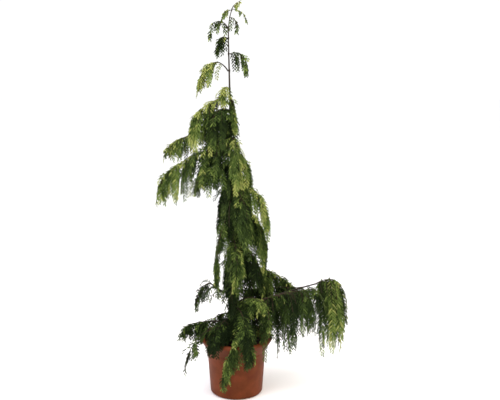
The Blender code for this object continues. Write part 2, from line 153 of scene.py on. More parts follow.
def add_node(material: Material, kind: str, links: dict[str, Socket] | None = None,
             inputs: dict[str, object] | None = None, **settings: object) -> Node:
    """Add one shader node with its settings and links.

    Args:
        material: the material whose tree the node joins.
        kind: the node's type name.
        links: input names and the output sockets that feed them.
        inputs: input names and their fixed values.
        settings: the node's own properties.

    Returns:
        The new node.
    """
    tree = material.node_tree
    node = tree.nodes.new(kind)
    for name, value in settings.items():
        setattr(node, name, value)
    for name, value in (inputs or {}).items():
        node.inputs[name].default_value = value
    for name, socket in (links or {}).items():
        tree.links.new(socket, node.inputs[name])
    return node


@dataclass(frozen=True)
class Finish:
    """What every surface here shares: a base colour, a gloss and an index of refraction."""

    name: str
    colour: str
    roughness: float
    ior: float
    specular: float = 0.5

    def start(self) -> tuple[Material, Node, Socket]:
        """Make the plain material.

        Returns:
            The material, its main shader and its coordinates in metres.
        """
        material = bpy.data.materials.new(self.name)
        material.use_nodes = True
        shader = material.node_tree.nodes["Principled BSDF"]
        shader.inputs["Base Color"].default_value = linear(self.colour)
        shader.inputs["Roughness"].default_value = self.roughness
        shader.inputs["IOR"].default_value = self.ior
        shader.inputs["Specular IOR Level"].default_value = self.specular
        material.diffuse_color = linear(self.colour)
        place = add_node(material, "ShaderNodeTexCoord").outputs["Object"]
        return material, shader, place

    def tint(self, material: Material, shader: Node, amount: Socket,
             colours: list[tuple[float, str]]) -> None:
        """Drive the base colour by a pattern.

        Args:
            material: the material.
            shader: its main shader.
            amount: the pattern, from 0 to 1.
            colours: places along the pattern and their hex colours.
        """
        ramp = add_node(material, "ShaderNodeValToRGB", {"Fac": amount})
        stops = ramp.color_ramp.elements
        while len(stops) < len(colours):
            stops.new(0.5)
        for stop, (position, colour) in zip(stops, colours):
            stop.position = position
            stop.color = linear(colour)
        material.node_tree.links.new(ramp.outputs["Color"], shader.inputs["Base Color"])

    def emboss(self, material: Material, shader: Node, height: Socket, depth_mm: float,
               strength: float) -> None:
        """Raise a pattern out of the surface by so many millimetres.

        Args:
            material: the material.
            shader: its main shader.
            height: the pattern.
            depth_mm: how far it stands out, in millimetres.
            strength: how much of that the light shows.
        """
        bump = add_node(material, "ShaderNodeBump", {"Height": height},
                        {"Strength": strength, "Distance": depth_mm / 1000.0})
        material.node_tree.links.new(bump.outputs["Normal"], shader.inputs["Normal"])


@dataclass(frozen=True)
class ScaleLeaf(Finish):
    """Living cypress shoots, clothed in small pressed scale leaves with a thin wax bloom."""

    specular: float = 0.10
    # The painted shade in the grooves between the scales.
    dark: str = "#1b2a12"
    scale_mm: float = 1.6
    mottle_mm: float = 34.0

    def make(self) -> Material:
        """The scales' tips are painted lighter, as painted light, and the grooves between them are painted
        darker, as painted shade.

        Returns:
            The material.
        """
        material, shader, place = self.start()
        scales = add_node(material, "ShaderNodeTexVoronoi", {"Vector": place},
                          {"Scale": per_mm(self.scale_mm), "Randomness": 0.8})
        mottle = add_node(material, "ShaderNodeTexNoise", {"Vector": place},
                          {"Scale": per_mm(self.mottle_mm), "Detail": 2.0})
        blend = add_node(material, "ShaderNodeMath",
                         {0: scales.outputs["Distance"], 1: mottle.outputs["Fac"]}, operation="MULTIPLY")
        self.tint(material, shader, blend.outputs["Value"],
                  [(0.0, self.colour), (0.28, self.colour), (0.62, self.dark)])
        self.emboss(material, shader, scales.outputs["Distance"], depth_mm=0.25, strength=0.4)
        return material


@dataclass(frozen=True)
class Bark(Finish):
    """Young cypress bark, thin and stringy, that splits lengthwise and greys on its ridges, with painted
    shade in the grooves between them.
    """

    specular: float = 0.25
    ridge: str = "#494238"
    # The painted shade deep in the grooves.
    groove_shade: str = "#17120e"
    width_mm: float = 3.0
    length_mm: float = 26.0

    def make(self) -> Material:
        """Long narrow streaks run up the limb, with finer fibres within them, and the sunken streaks painted
        dark as painted shade.

        Returns:
            The material.
        """
        material, shader, place = self.start()
        stretch = add_node(material, "ShaderNodeMapping", {"Vector": place},
                           {"Scale": (per_mm(self.width_mm), per_mm(self.width_mm), per_mm(self.length_mm))})
        streaks = add_node(material, "ShaderNodeTexNoise", {"Vector": stretch.outputs["Vector"]},
                           {"Scale": 1.0, "Detail": 6.0, "Roughness": 0.62})
        self.tint(material, shader, streaks.outputs["Fac"],
                  [(0.30, self.groove_shade), (0.50, self.colour), (0.72, self.ridge)])
        self.emboss(material, shader, streaks.outputs["Fac"], depth_mm=0.8, strength=0.7)
        return material


@dataclass(frozen=True)
class MouldedPlastic(Finish):
    """Terracotta-coloured polypropylene, injection moulded, with the mould's fine satin grain."""

    specular: float = 0.12
    dusty: str = "#6a3018"
    worn: str = "#4d1e08"
    cloud_mm: float = 60.0
    smoother: float = 0.07
    rougher: float = 0.10

    # The mould's grain is about 0.15 mm, too fine to show, so it is drawn coarser.
    grain_mm: float = 0.9

    def make(self) -> Material:
        """Broad soft clouds of handling dust over an even colour, and a fine grain in the gloss.

        Returns:
            The material.
        """
        material, shader, place = self.start()
        clouds = add_node(material, "ShaderNodeTexNoise", {"Vector": place},
                          {"Scale": per_mm(self.cloud_mm), "Detail": 5.0, "Roughness": 0.6})
        grain = add_node(material, "ShaderNodeTexNoise", {"Vector": place},
                         {"Scale": per_mm(self.grain_mm), "Detail": 3.0})
        self.tint(material, shader, clouds.outputs["Fac"],
                  [(0.28, self.worn), (0.50, self.colour), (0.78, self.dusty)])
        gloss = add_node(material, "ShaderNodeMapRange", {"Value": grain.outputs["Fac"]},
                         {"To Min": self.roughness - self.smoother, "To Max": self.roughness + self.rougher})
        material.node_tree.links.new(gloss.outputs["Result"], shader.inputs["Roughness"])
        self.emboss(material, shader, grain.outputs["Fac"], depth_mm=0.12, strength=0.35)
        return material


@dataclass(frozen=True)
class Compost(Finish):
    """Peat-free potting compost: moist, dark and crumbly, with paler fibres."""

    specular: float = 0.2
    fibre: str = "#4a3524"
    crumb_mm: float = 3.2

    def make(self) -> Material:
        """Dark crumbs with a few light specks, and no gloss.

        Returns:
            The material.
        """
        material, shader, place = self.start()
        crumbs = add_node(material, "ShaderNodeTexNoise", {"Vector": place},
                          {"Scale": per_mm(self.crumb_mm), "Detail": 6.0, "Roughness": 0.7})
        self.tint(material, shader, crumbs.outputs["Fac"],
                  [(0.40, self.colour), (0.62, self.colour), (0.80, self.fibre)])
        self.emboss(material, shader, crumbs.outputs["Fac"], depth_mm=1.2, strength=0.8)
        return material


@dataclass(frozen=True)
class PaintedBoard(Finish):
    """Matt painted studio board, rolled on, with no sheen."""

    specular: float = 0.1

    # A roller's stipple is about 2 mm, too fine to show, so it is drawn coarser.
    stipple_mm: float = 8.0

    def make(self) -> Material:
        """An even pale coat with the roller's faint stipple.

        Returns:
            The material.
        """
        material, shader, place = self.start()
        stipple = add_node(material, "ShaderNodeTexNoise", {"Vector": place},
                           {"Scale": per_mm(self.stipple_mm)})
        self.emboss(material, shader, stipple.outputs["Fac"], depth_mm=0.1, strength=0.1)
        return material


class Green(Enum):
    """The plain greens that sprays are dealt, from the palest to the deepest: lit and shaded copies of one
    scale leaf, partly real paler new growth and darker old growth, partly painted light and painted shade.
    """

    # The pale greens carry painted light and the dark greens painted shade, beside the real tone of new and
    # old growth.
    FRESH = ScaleLeaf("fresh_lit_scale_leaf", "#949b52", 0.56, 1.45, dark="#626d30", specular=0.15)
    BRIGHT = ScaleLeaf("bright_scale_leaf", "#6b7d39", 0.56, 1.45, dark="#42542a", specular=0.15)
    OLIVE = ScaleLeaf("olive_scale_leaf", "#4d5f2a", 0.56, 1.45, dark="#2c3c19", specular=0.1)
    LEAF = ScaleLeaf("green_scale_leaf", "#374720", 0.58, 1.45, dark="#1f2c12", specular=0.07)
    DEEP = ScaleLeaf("deep_scale_leaf", "#273417", 0.60, 1.45, dark="#17210e", specular=0.05)
    SHADE = ScaleLeaf("shade_scale_leaf", "#1a2511", 0.60, 1.45, dark="#0f170a", specular=0.05)


GREENS = list(Green)


def green_at(shade: float) -> Green:
    """The green nearest to a place in the list of greens."""
    return GREENS[int(np.clip(round(shade), 0, len(GREENS) - 1))]


@dataclass(frozen=True)
class Spread:
    """A value that varies evenly to both sides of its middle."""

    middle: float
    half: float

    def pick(self, draw: random.Random) -> float:
        """One value of it."""
        return self.middle + self.half * draw.uniform(-1, 1)


@dataclass(frozen=True)
class Blades:
    """Many narrow shoots: where each starts, is widest and ends, and which way it faces."""

    foot: Array
    middle: Array
    point: Array
    facing: Array

    def only(self, kept: Mask) -> "Blades":
        """Those of them that are kept."""
        return Blades(self.foot[kept], self.middle[kept], self.point[kept], self.facing[kept])


class Shapes:
    """Many small shapes of a kind, kept as arrays until they are joined into meshes."""

    def __init__(self) -> None:
        """Start empty."""
        self.groups: list[tuple[Array, Faces]] = []

    def add(self, points: Array, faces: Faces) -> None:
        """Keep shapes that share one list of triangles.

        Args:
            points: the corners, as shapes by corners by 3.
            faces: the triangles of one shape, by its corners.
        """
        if len(points):
            self.groups.append((points, faces))

    def add_one(self, points: Array, faces: Faces) -> None:
        """Keep a single shape."""
        self.add(points[None], faces)

    def triangles(self) -> int:
        """How many triangles are kept."""
        return sum(len(points) * len(faces) for points, faces in self.groups)

    def portions(self, most: int) -> Iterator[tuple[Array, Faces]]:
        """Join the shapes in turn into arrays of at most so many triangles.

        Args:
            most: the limit for one array.

        Yields:
            The points and the triangles of one mesh.
        """
        points: list[Array] = []
        faces: list[Faces] = []
        held = 0
        first = 0
        for corners, template in self.groups:
            if held + len(corners) * len(template) > most:
                yield np.concatenate(points), np.concatenate(faces)
                points, faces, held, first = [], [], 0, 0
            starts = first + np.arange(len(corners)) * corners.shape[1]
            points.append(corners.reshape(-1, 3))
            faces.append((starts[:, None, None] + template[None]).reshape(-1, 3))
            held += len(corners) * len(template)
            first += len(corners) * corners.shape[1]
        if points:
            yield np.concatenate(points), np.concatenate(faces)


def mesh_object(name: str, points: Array, faces: Faces, material: Material,
                smooth: bool = True) -> bpy.types.Object:
    """Make one object from corner and face arrays.

    Args:
        name: the piece's name.
        points: its corners.
        faces: its triangles or quads, by corner.
        material: its material.
        smooth: whether its faces shade as one curved surface.

    Returns:
        The new object, riding on the plant's body.
    """
    mesh = bpy.data.meshes.new(name)
    sides = faces.shape[1]
    mesh.vertices.add(len(points))
    mesh.vertices.foreach_set("co", points.astype(np.float32).ravel())
    mesh.loops.add(faces.size)
    mesh.loops.foreach_set("vertex_index", faces.astype(np.int32).ravel())
    mesh.polygons.add(len(faces))
    mesh.polygons.foreach_set("loop_start", np.arange(0, faces.size, sides, dtype=np.int32))
    mesh.update(calc_edges=True)
    mesh.validate()
    mesh.polygons.foreach_set("use_smooth", np.full(len(mesh.polygons), smooth))
    mesh.materials.append(material)
    piece = bpy.data.objects.new(name, mesh)
    bpy.context.scene.collection.objects.link(piece)
    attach(piece, BODY)
    log.info("%s: %d faces of %s", name, len(mesh.polygons), material.name)
    return piece


def ring_faces(rings: int, sides: int) -> Faces:
    """Triangles that close rings of corners, with one more corner at each end.

    Args:
        rings: how many rings there are.
        sides: the corners of a ring.

    Returns:
        The triangles. The corners are numbered ring by ring, then the first end and the last.
    """
    here = np.arange(sides)
    after = (here + 1) % sides
    foot = rings * sides
    top = foot - sides
    faces = []
    for low in range(0, top, sides):
        high = low + sides
        faces.append(np.stack([low + here, low + after, high + after], -1))
        faces.append(np.stack([low + here, high + after, high + here], -1))
    faces.append(np.stack([np.full(sides, foot), after, here], -1))
    faces.append(np.stack([np.full(sides, foot + 1), top + here, top + after], -1))
    return np.concatenate(faces)


def lathe(profile: list[tuple[float, float]], segments: int) -> tuple[Array, Faces]:
    """Spin a profile about the Z axis. Its ends lie on the axis.

    Args:
        profile: radii and heights from end to end, up the outside.
        segments: the facets round the axis.

    Returns:
        Corner and triangle arrays.
    """
    rings = np.array(profile[1:-1])
    angles = np.arange(segments) * math.tau / segments
    around = np.stack([np.cos(angles), np.sin(angles)], -1)
    flat = rings[:, None, :1] * around[None]
    heights = np.broadcast_to(rings[:, None, 1:], (len(rings), segments, 1))
    body = np.concatenate([flat, heights], -1).reshape(-1, 3)
    ends = np.array([[0.0, 0.0, profile[0][1]], [0.0, 0.0, profile[-1][1]]])
    return np.concatenate([body, ends]), ring_faces(len(rings), segments)


def ring_tube(points: Array, radii: Array, sides: int, azimuth: float) -> tuple[Array, Faces]:
    """A closed tube along a path.

    Args:
        points: the path.
        radii: a radius at each point, or one for each corner of each ring.
        sides: the corners of a ring.
        azimuth: the path's azimuth in degrees, which sets where rings start.

    Returns:
        The corners, ring by ring, then the two end points; and the triangles.
    """
    heading = unit(np.gradient(points, axis=0))
    normal = unit(np.cross(heading, side_of(azimuth)))
    level = np.cross(normal, heading)
    angles = (np.arange(sides) * math.tau / sides)[None, :, None]
    spread = radii[:, None] if radii.ndim == 1 else radii
    ring = np.cos(angles) * normal[:, None] + np.sin(angles) * level[:, None]
    body = (points[:, None] + spread[..., None] * ring).reshape(-1, 3)
    ends = np.stack([points[0], points[-1]])
    return np.concatenate([body, ends]), ring_faces(len(points), sides)


@dataclass(frozen=True)
class Stem:
    """How a limb runs.

    Attributes:
        parent: the limb that carries it.
        at: its height on the trunk, or None at the end of its parent.
        azimuth: its azimuth.
        length: its length.
        rise: the slope at its root.
        fall: the slope at its end.
        bend: how early it turns from one to the other, under 1 for early.
        root: the radius at its root.
        veer: how far its azimuth turns along it.
    """

    parent: str
    at: float | None
    azimuth: float
    length: float
    rise: float
    fall: float
    bend: float
    root: float
    veer: float = field(default=0.0, kw_only=True)

    def points(self, start: Array, least: int) -> Array:
        """The source's few points along it, with at least so many stretches."""
        steps = max(least, round(self.length / SOURCE_STEP))
        return arch(start, self.azimuth, self.length, self.rise, self.fall, self.bend, steps, veer=self.veer)


@dataclass(frozen=True)
class Limb(Stem):
    """One bare bough and the green tufts on it.

    Attributes:
        tip: the radius at its tip.
        shade: the tufts' green, as a place in the list of greens, set bough by bough as painted light and
            shade.
        first: where they begin, as a share of the bough.
        last: where they end.
        size: how long they are, against the usual.
    """

    tip: float
    shade: float
    first: float
    last: float
    size: float


@dataclass(frozen=True)
class Mass(Stem):
    """One mass of foliage and its sprays.

    Attributes:
        sprays: how many of the source's sprays hang from its stem.
        spray_length: how long the first of them is.
        spray_width: how wide they are.
        tone: how light its green is, from 0 to 1, set mass by mass as painted light and shade for where it
            hangs.
        fullness: how many finer twigs it has, against the usual.
        tufted: how large the tufts over its stem are, against the usual.
        drape: how long the twigs between its sprays are, against them.
        shorten: how much shorter sprays become along the stem, as a share.
        droop: how far its twigs dip as they leave the stem.
        tuft_rise: the steepest that a tuft rises.
        tuft_light: how much lighter the tufts are, in steps of green, as painted light on the top of the
            stem.
    """

    sprays: int
    spray_length: float
    spray_width: float
    tone: float
    fullness: float = 1.0
    tufted: float = 1.0
    drape: float = 1.0
    shorten: float = 0.42
    droop: float = 10.0
    tuft_rise: float = 26.0
    tuft_light: float = 0.4

    def length_at(self, share: float) -> float:
        """How long a spray is at a share of the stem."""
        return self.spray_length * (1.0 - self.shorten * share)


# Each limb in the order of the fields above: the stem first, then what it carries.
BOUGHS = {
    "upper_left_bough": Limb("trunk", 1.34, 186, 0.054, 58, 18, 1.2, 0.0027, 0.002, 0.6, 0.75, 1.0, 1.7),
    "left_arching_bough": Limb("trunk", 1.21, 190, 0.046, 43, 0, 1.5, 0.0042, 0.0032, 0.2, 0.2, 1.0, 1.0),
    "mid_left_bough": Limb("trunk", 1.066, 166, 0.156, 17, -16, 1.8, 0.0042, 0.0028, 1.4, 0.1, 1.0, 1.0),
    "long_left_bough": Limb("trunk", 1.001, 184, 0.13, 12, -10, 1.9, 0.005, 0.0036, 2.0, 0.3, 1.0, 1.0),
    "lower_left_bough": Limb("trunk", 0.413, 182, 0.108, 19, 40, 0.6, 0.0044, 0.003, 3.3, 0.12, 1.0, 1.35),
    "front_right_bough": Limb("trunk", 0.343, 335, 0.13, 45, 19, 1.3, 0.0056, 0.0042, 1.8, 0.45, 1.0, 1.2),
    "long_right_inner_bough": Limb("trunk", 0.243, 357, 0.2, 14, 80, 0.55, 0.006, 0.0046,
        2.0, 0.15, 1.0, 1.1),
    "long_right_outer_bough": Limb("long_right_inner_bough", None, 2, 0.22, 18, 15, 1.0, 0.0044, 0.0028,
        1.8, 0.0, 0.25, 1.0),
    "pot_left_bough": Limb("trunk", 0.28, 187, 0.098, 30, -2, 1.6, 0.0046, 0.0034, 3.2, 0.0, 1.0, 1.5),
}

MASSES = {
    # The thin top.
    "leader_spray": Mass("trunk", None, 12, 0.03, 52, 24, 1.0, 0.0014,
        2, 0.032, 0.007, 0.98, fullness=0.5, tufted=0.6, tuft_light=0.9),
    "leader_left_spray": Mass("trunk", 1.572, 188, 0.056, 50, -94, 0.55, 0.0013,
        3, 0.04, 0.008, 0.8, fullness=0.3, tufted=0.5),
    "leader_right_spray": Mass("trunk", 1.576, 350, 0.082, 8, -78, 0.8, 0.0013,
        2, 0.03, 0.005, 0.72, fullness=0.3, tufted=0.5),
    "crown_right_spray": Mass("trunk", 1.545, 322, 0.06, 22, -98, 0.65, 0.0014,
        3, 0.052, 0.014, 0.52, fullness=0.25, tufted=0.3),
    "crown_left_spray": Mass("trunk", 1.508, 168, 0.107, 72, -102, 0.95, 0.0018,
        5, 0.06, 0.016, 0.5, fullness=0.3, tufted=0.6),
    "crown_front_spray": Mass("trunk", 1.466, 207, 0.07, 68, -102, 0.6, 0.0018,
        4, 0.082, 0.017, 0.3, fullness=0.7, tufted=0.6),
    "upper_right_spray": Mass("trunk", 1.405, 12, 0.099, 32, -102, 0.95, 0.002,
        6, 0.1, 0.016, 0.42, fullness=0.35, tufted=0.7),
    "upper_left_fall": Mass("upper_left_bough", None, 185, 0.126, 60, -84, 0.32, 0.0019,
        6, 0.128, 0.019, 0.91, fullness=0.9, tufted=0.7, drape=1.1, shorten=0.84, tuft_light=0.9),
    # The head and the arching left side.
    "front_upper_spray": Mass("trunk", 1.27, 238, 0.066, 60, -98, 0.8, 0.002,
        3, 0.084, 0.018, 0.92, tuft_light=0.9),
    "right_upper_fall": Mass("trunk", 1.242, 302, 0.108, -20, -90, 0.38, 0.0026,
        4, 0.11, 0.016, 0.74, tufted=0.6, droop=30),
    "left_arching_fall": Mass("left_arching_bough", None, 188, 0.144, -28, -78, 2.2, 0.003,
        6, 0.235, 0.024, 0.76, fullness=2.0, tufted=1.2, tuft_light=1.6),
    "front_left_fall": Mass("trunk", 1.185, 222, 0.125, 40, -84, 0.8, 0.003,
        4, 0.19, 0.024, 0.36, fullness=1.4),
    "inner_left_fall": Mass("trunk", 1.18, 148, 0.115, 36, -86, 0.7, 0.003, 4, 0.21, 0.025, 0.33),
    "back_upper_fall": Mass("trunk", 1.14, 106, 0.19, 42, -88, 0.7, 0.003, 4, 0.18, 0.024, 0.3, droop=45),
    "mid_left_fall": Mass("mid_left_bough", None, 172, 0.13, -15, -60, 1.9, 0.0026,
        6, 0.134, 0.021, 0.8, tufted=0.35, shorten=0.74, tuft_light=0.9),
    "left_middle_fall": Mass("trunk", 1.045, 198, 0.165, 18, -56, 1.1, 0.0032, 5, 0.19, 0.024, 0.42),
    "long_left_fall": Mass("long_left_bough", None, 183, 0.206, -28, -74, 2.8, 0.0034,
        8, 0.214, 0.022, 0.7, fullness=0.8, tufted=0.6, shorten=0.54, tuft_light=0.9),
    "lower_left_front_fall": Mass("trunk", 0.96, 210, 0.172, 24, -60, 0.9, 0.0032, 5, 0.14, 0.024, 0.46),
    "lower_left_back_fall": Mass("trunk", 0.974, 150, 0.17, 26, -60, 0.9, 0.0032, 5, 0.155, 0.024, 0.3),
    # The hanging column, in front and behind.
    "left_strand_upper": Mass("trunk", 0.952, 248, 0.07, 60, -96, 0.3, 0.0028,
        4, 0.14, 0.018, 0.25, droop=35),
    "left_strand_lower": Mass("trunk", 0.756, 248, 0.325, 62, -98, 0.36, 0.0034,
        5, 0.11, 0.018, 0.46, fullness=3.2, tufted=0.6, droop=20),
    "right_shoulder_fall": Mass("trunk", 1.014, 334, 0.12, 46, -92, 0.42, 0.0032,
        4, 0.15, 0.021, 0.5, fullness=1.3, tufted=0.6),
    "right_outer_fall": Mass("trunk", 0.874, 340, 0.213, 60, -90, 0.52, 0.0034,
        6, 0.15, 0.018, 0.76, fullness=1.6, tufted=0.7, drape=1.35),
    "right_lower_fall": Mass("trunk", 0.762, 352, 0.178, 62, -90, 0.5, 0.0034,
        7, 0.165, 0.021, 0.5, fullness=3.0, drape=1.2, shorten=0.05, droop=20),
    "front_fall_upper": Mass("trunk", 1.08, 288, 0.19, 38, -94, 0.42, 0.0032, 5, 0.15, 0.022, 0.76),
    "front_fall_middle": Mass("trunk", 0.858, 300, 0.2, 58, -96, 0.42, 0.0034,
        5, 0.15, 0.022, 0.48, fullness=1.8, drape=1.3),
    "front_fall_left": Mass("trunk", 0.836, 262, 0.15, 50, -96, 0.45, 0.0034,
        4, 0.15, 0.022, 0.16, fullness=1.4, droop=40),
    "front_fall_lower": Mass("trunk", 0.66, 276, 0.2, 50, -92, 0.42, 0.0034,
        5, 0.15, 0.022, 0.56, fullness=1.6),
    "front_fall_right": Mass("trunk", 0.628, 330, 0.19, 50, -90, 0.45, 0.0034,
        4, 0.14, 0.022, 0.14, fullness=2.2, drape=1.2),
    "front_fall_foot": Mass("trunk", 0.5, 262, 0.15, 40, -88, 0.45, 0.0034,
        4, 0.13, 0.02, 0.18, fullness=1.8),
    "back_fall_right": Mass("trunk", 0.93, 56, 0.2, 40, -92, 0.42, 0.0032, 4, 0.16, 0.023, 0.24),
    "back_middle_fall": Mass("trunk", 0.85, 108, 0.29, 44, -88, 0.6, 0.0036,
        5, 0.15, 0.024, 0.26, droop=50),
    "back_fall_middle": Mass("trunk", 0.69, 78, 0.21, 46, -92, 0.42, 0.0034, 5, 0.16, 0.023, 0.2),
    "back_fall_left": Mass("trunk", 0.57, 112, 0.16, 40, -90, 0.42, 0.0034, 5, 0.13, 0.023, 0.24, droop=30),
    "dark_right_fall": Mass("trunk", 0.545, 20, 0.275, 33, -42, 0.3, 0.0036,
        8, 0.205, 0.024, 0.58, fullness=2.4, tufted=0.75, tuft_rise=38),
    # The long right limb.
    "right_curtain": Mass("front_right_bough", None, 354, 0.21, 20, 9, 1.0, 0.004,
        8, 0.296, 0.025, 0.38, fullness=1.8, tufted=1.1, shorten=0.37, tuft_rise=60),
    "right_inner_curtain": Mass("trunk", 0.43, 14, 0.28, 8, -10, 1.0, 0.004,
        6, 0.25, 0.024, 0.18, fullness=2.2),
    "right_end_curtain": Mass("long_right_outer_bough", None, 2, 0.093, 34, -36, 1.4, 0.0032,
        7, 0.318, 0.03, 0.44, fullness=0.8, tufted=0.8, shorten=0.06),
    # Low down and over the pot.
    "lower_left_fall": Mass("lower_left_bough", None, 182, 0.108, 52, -86, 0.3, 0.0028,
        5, 0.09, 0.017, 0.15, fullness=0.5, tufted=0.7),
    "pot_left_fall": Mass("pot_left_bough", None, 185, 0.13, -4, -62, 2.6, 0.0032,
        6, 0.105, 0.021, 0.26, fullness=2.4, shorten=0.6),
    "pot_left_strand": Mass("trunk", 0.283, 221, 0.32, 22, -84, 1.3, 0.0036,
        5, 0.09, 0.017, 0.3, fullness=1.2),
    "pot_front_left_fall": Mass("trunk", 0.318, 240, 0.2, 30, -66, 1.0, 0.0036,
        4, 0.11, 0.021, 0.1, fullness=6, drape=1.2, droop=-20),
    "pot_front_strand": Mass("trunk", 0.345, 298, 0.328, 10, -82, 0.55, 0.0038,
        6, 0.115, 0.02, 0.56, veer=-130, fullness=5, droop=-20),
    "pot_front_right_fall": Mass("trunk", 0.365, 286, 0.28, 28, -86, 0.8, 0.0038,
        6, 0.12, 0.022, 0.3, fullness=7, drape=1.1, droop=-20),
    "pot_right_fall": Mass("trunk", 0.384, 320, 0.25, 46, -110, 1.3, 0.0038,
        5, 0.098, 0.02, 0.58, fullness=1.8, tufted=0.6),
    "pot_back_left_fall": Mass("trunk", 0.325, 130, 0.215, 10, -78, 0.9, 0.0038, 5, 0.13, 0.022, 0.26),
    "pot_back_right_fall": Mass("trunk", 0.35, 48, 0.25, 26, -80, 0.9, 0.0038, 5, 0.13, 0.022, 0.22),
}


def arch(start: Array, azimuth: float, length: float, rise: float, fall: float, bend: float, steps: int,
         sway: float = 0.0, phase: float = 0.0, veer: float = 0.0) -> Array:
    """Points along a limb whose slope turns from its rise to its fall.

    Args:
        start: where it starts.
        azimuth: its azimuth in degrees.
        length: its length.
        rise: the slope at its root.
        fall: the slope at its end.
        bend: how early it turns, under 1 for early.
        steps: how many stretches it has.
        sway: how far it wanders, in degrees.
        phase: where the wandering starts.
        veer: how far its azimuth turns along it, in degrees.

    Returns:
        The points, one more than the steps.
    """
    share = (np.arange(steps) + 0.5) / steps
    drift = sway * np.sin(phase + SWAY_WAVES * share) * share
    slope = rise + (fall - rise) * share ** bend + drift
    headings = heading_of(slope, azimuth + veer * share + SWAY_TURN * drift)
    return np.concatenate([start[None], start + np.cumsum(headings * (length / steps), axis=0)])


@dataclass
class Pot:
    """The moulded nursery pot: a flat foot, a tapered wall and a fat rolled lip."""

    height: float = 0.245
    rim_radius: float = 0.150
    mouth_radius: float = 0.131
    shoulder_radius: float = 0.1230
    foot_radius: float = 0.109
    foot_fillet: float = 0.012
    lip_height: float = 0.033
    collar_height: float = 0.026
    wall: float = 0.003
    floor: float = 0.004
    foot_ring: float = 0.006
    recess: float = 0.0018
    bead: float = 0.0009
    compost_top: float = 0.212
    clearance: float = 0.0015
    litter: float = 0.004
    segments: int = 144
    fillet_steps: int = 10
    wall_steps: int = 8
    bead_steps: int = 6
    lip_steps: int = 26
    lip_start: float = -32.0
    bead_angle: float = 80.0
    wall_foot: float = 0.03
    inner_ease: float = 0.001
    inner_foot: float = 0.02
    sharp_angle: float = 42.0

    # The lip's rough outline for clearance: below its top and inside the rim, in its own radii.
    lip_outline: tuple[Span, ...] = ((1.8, 0.3), (1.0, 0.0), (0.0, 1.0))
    finish: MouldedPlastic = MouldedPlastic("terracotta_polypropylene_moulded", "#56280c", 0.50, 1.49)

    def wall_radius(self, height: float) -> float:
        """The wall's outside.

        Args:
            height: a height on the wall.

        Returns:
            Its outer radius there.
        """
        shoulder = self.height - self.lip_height
        share = (height - self.foot_fillet) / (shoulder - self.foot_fillet)
        return self.foot_radius + (self.shoulder_radius - self.foot_radius) * share

    def arc(self, centre: tuple[float, float], radius: float, first: float, last: float,
            steps: int) -> list[tuple[float, float]]:
        """Points of a round stretch of the profile.

        Args:
            centre: the radius and the height of its centre.
            radius: its own radius.
            first: the angle where it starts, in degrees.
            last: the angle where it ends.
            steps: how many stretches it has.

        Returns:
            Radii and heights.
        """
        angles = [math.radians(first + (last - first) * k / steps) for k in range(steps + 1)]
        return [(centre[0] + radius * math.cos(a), centre[1] + radius * math.sin(a)) for a in angles]

    def profile(self) -> list[tuple[float, float]]:
        """The section, from the underside's middle round the lip to the inside's middle.

        Returns:
            Radii and heights.
        """
        shoulder = self.height - self.lip_height
        lip = 0.5 * (self.rim_radius - self.mouth_radius)
        lip_centre = (self.rim_radius - lip, self.height - lip)
        foot_centre = (self.foot_radius - self.foot_fillet, self.foot_fillet)
        ring = foot_centre[0] - self.foot_ring
        inner = self.wall_radius(shoulder) - self.wall
        points = [(0.0, self.recess), (ring - self.recess, self.recess), (ring, 0.0)]
        points += self.arc(foot_centre, self.foot_fillet, -90, 0, self.fillet_steps)
        low = shoulder - self.collar_height
        for height in np.linspace(self.wall_foot, low - 4 * self.bead, self.wall_steps):
            points.append((self.wall_radius(height), float(height)))
        bead_centre = (self.wall_radius(low), low - 2 * self.bead)
        points += self.arc(bead_centre, self.bead, -self.bead_angle, self.bead_angle, self.bead_steps)
        points += self.arc(lip_centre, lip, self.lip_start, 180, self.lip_steps)
        points += [(inner + self.inner_ease, shoulder)]
        floor = self.floor + self.recess
        points += [(self.wall_radius(self.inner_foot) - self.wall, floor), (0.0, floor)]
        return points

    def holds(self, points: Array) -> Mask:
        """Tell which points lie in the pot's wall or in its compost.

        Args:
            points: the points.

        Returns:
            Whether each lies there.
        """
        lip = 0.5 * (self.rim_radius - self.mouth_radius)
        collar = self.height - self.lip_height - self.collar_height
        heights = [0.0, collar, *(self.height - below * lip for below, _ in self.lip_outline)]
        radii = [self.foot_radius, self.shoulder_radius,
                 *(self.rim_radius - inside * lip for _, inside in self.lip_outline)]
        away = np.hypot(points[..., 0], points[..., 1])
        height = points[..., 2]
        inside = away < np.interp(height, heights, radii) + self.clearance
        inside &= height < self.height + self.clearance
        in_mouth = (away < self.mouth_radius - self.clearance) & (height > self.compost_top + self.litter)
        return (inside & ~in_mouth) | (height < self.foot_ring)

    def build(self) -> None:
        """Turn the pot and dress it."""
        points, faces = lathe(self.profile(), self.segments)
        piece = mesh_object("moulded_pot", points, faces, self.finish.make())
        piece.data.set_sharp_from_angle(angle=math.radians(self.sharp_angle))
        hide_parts("pot")


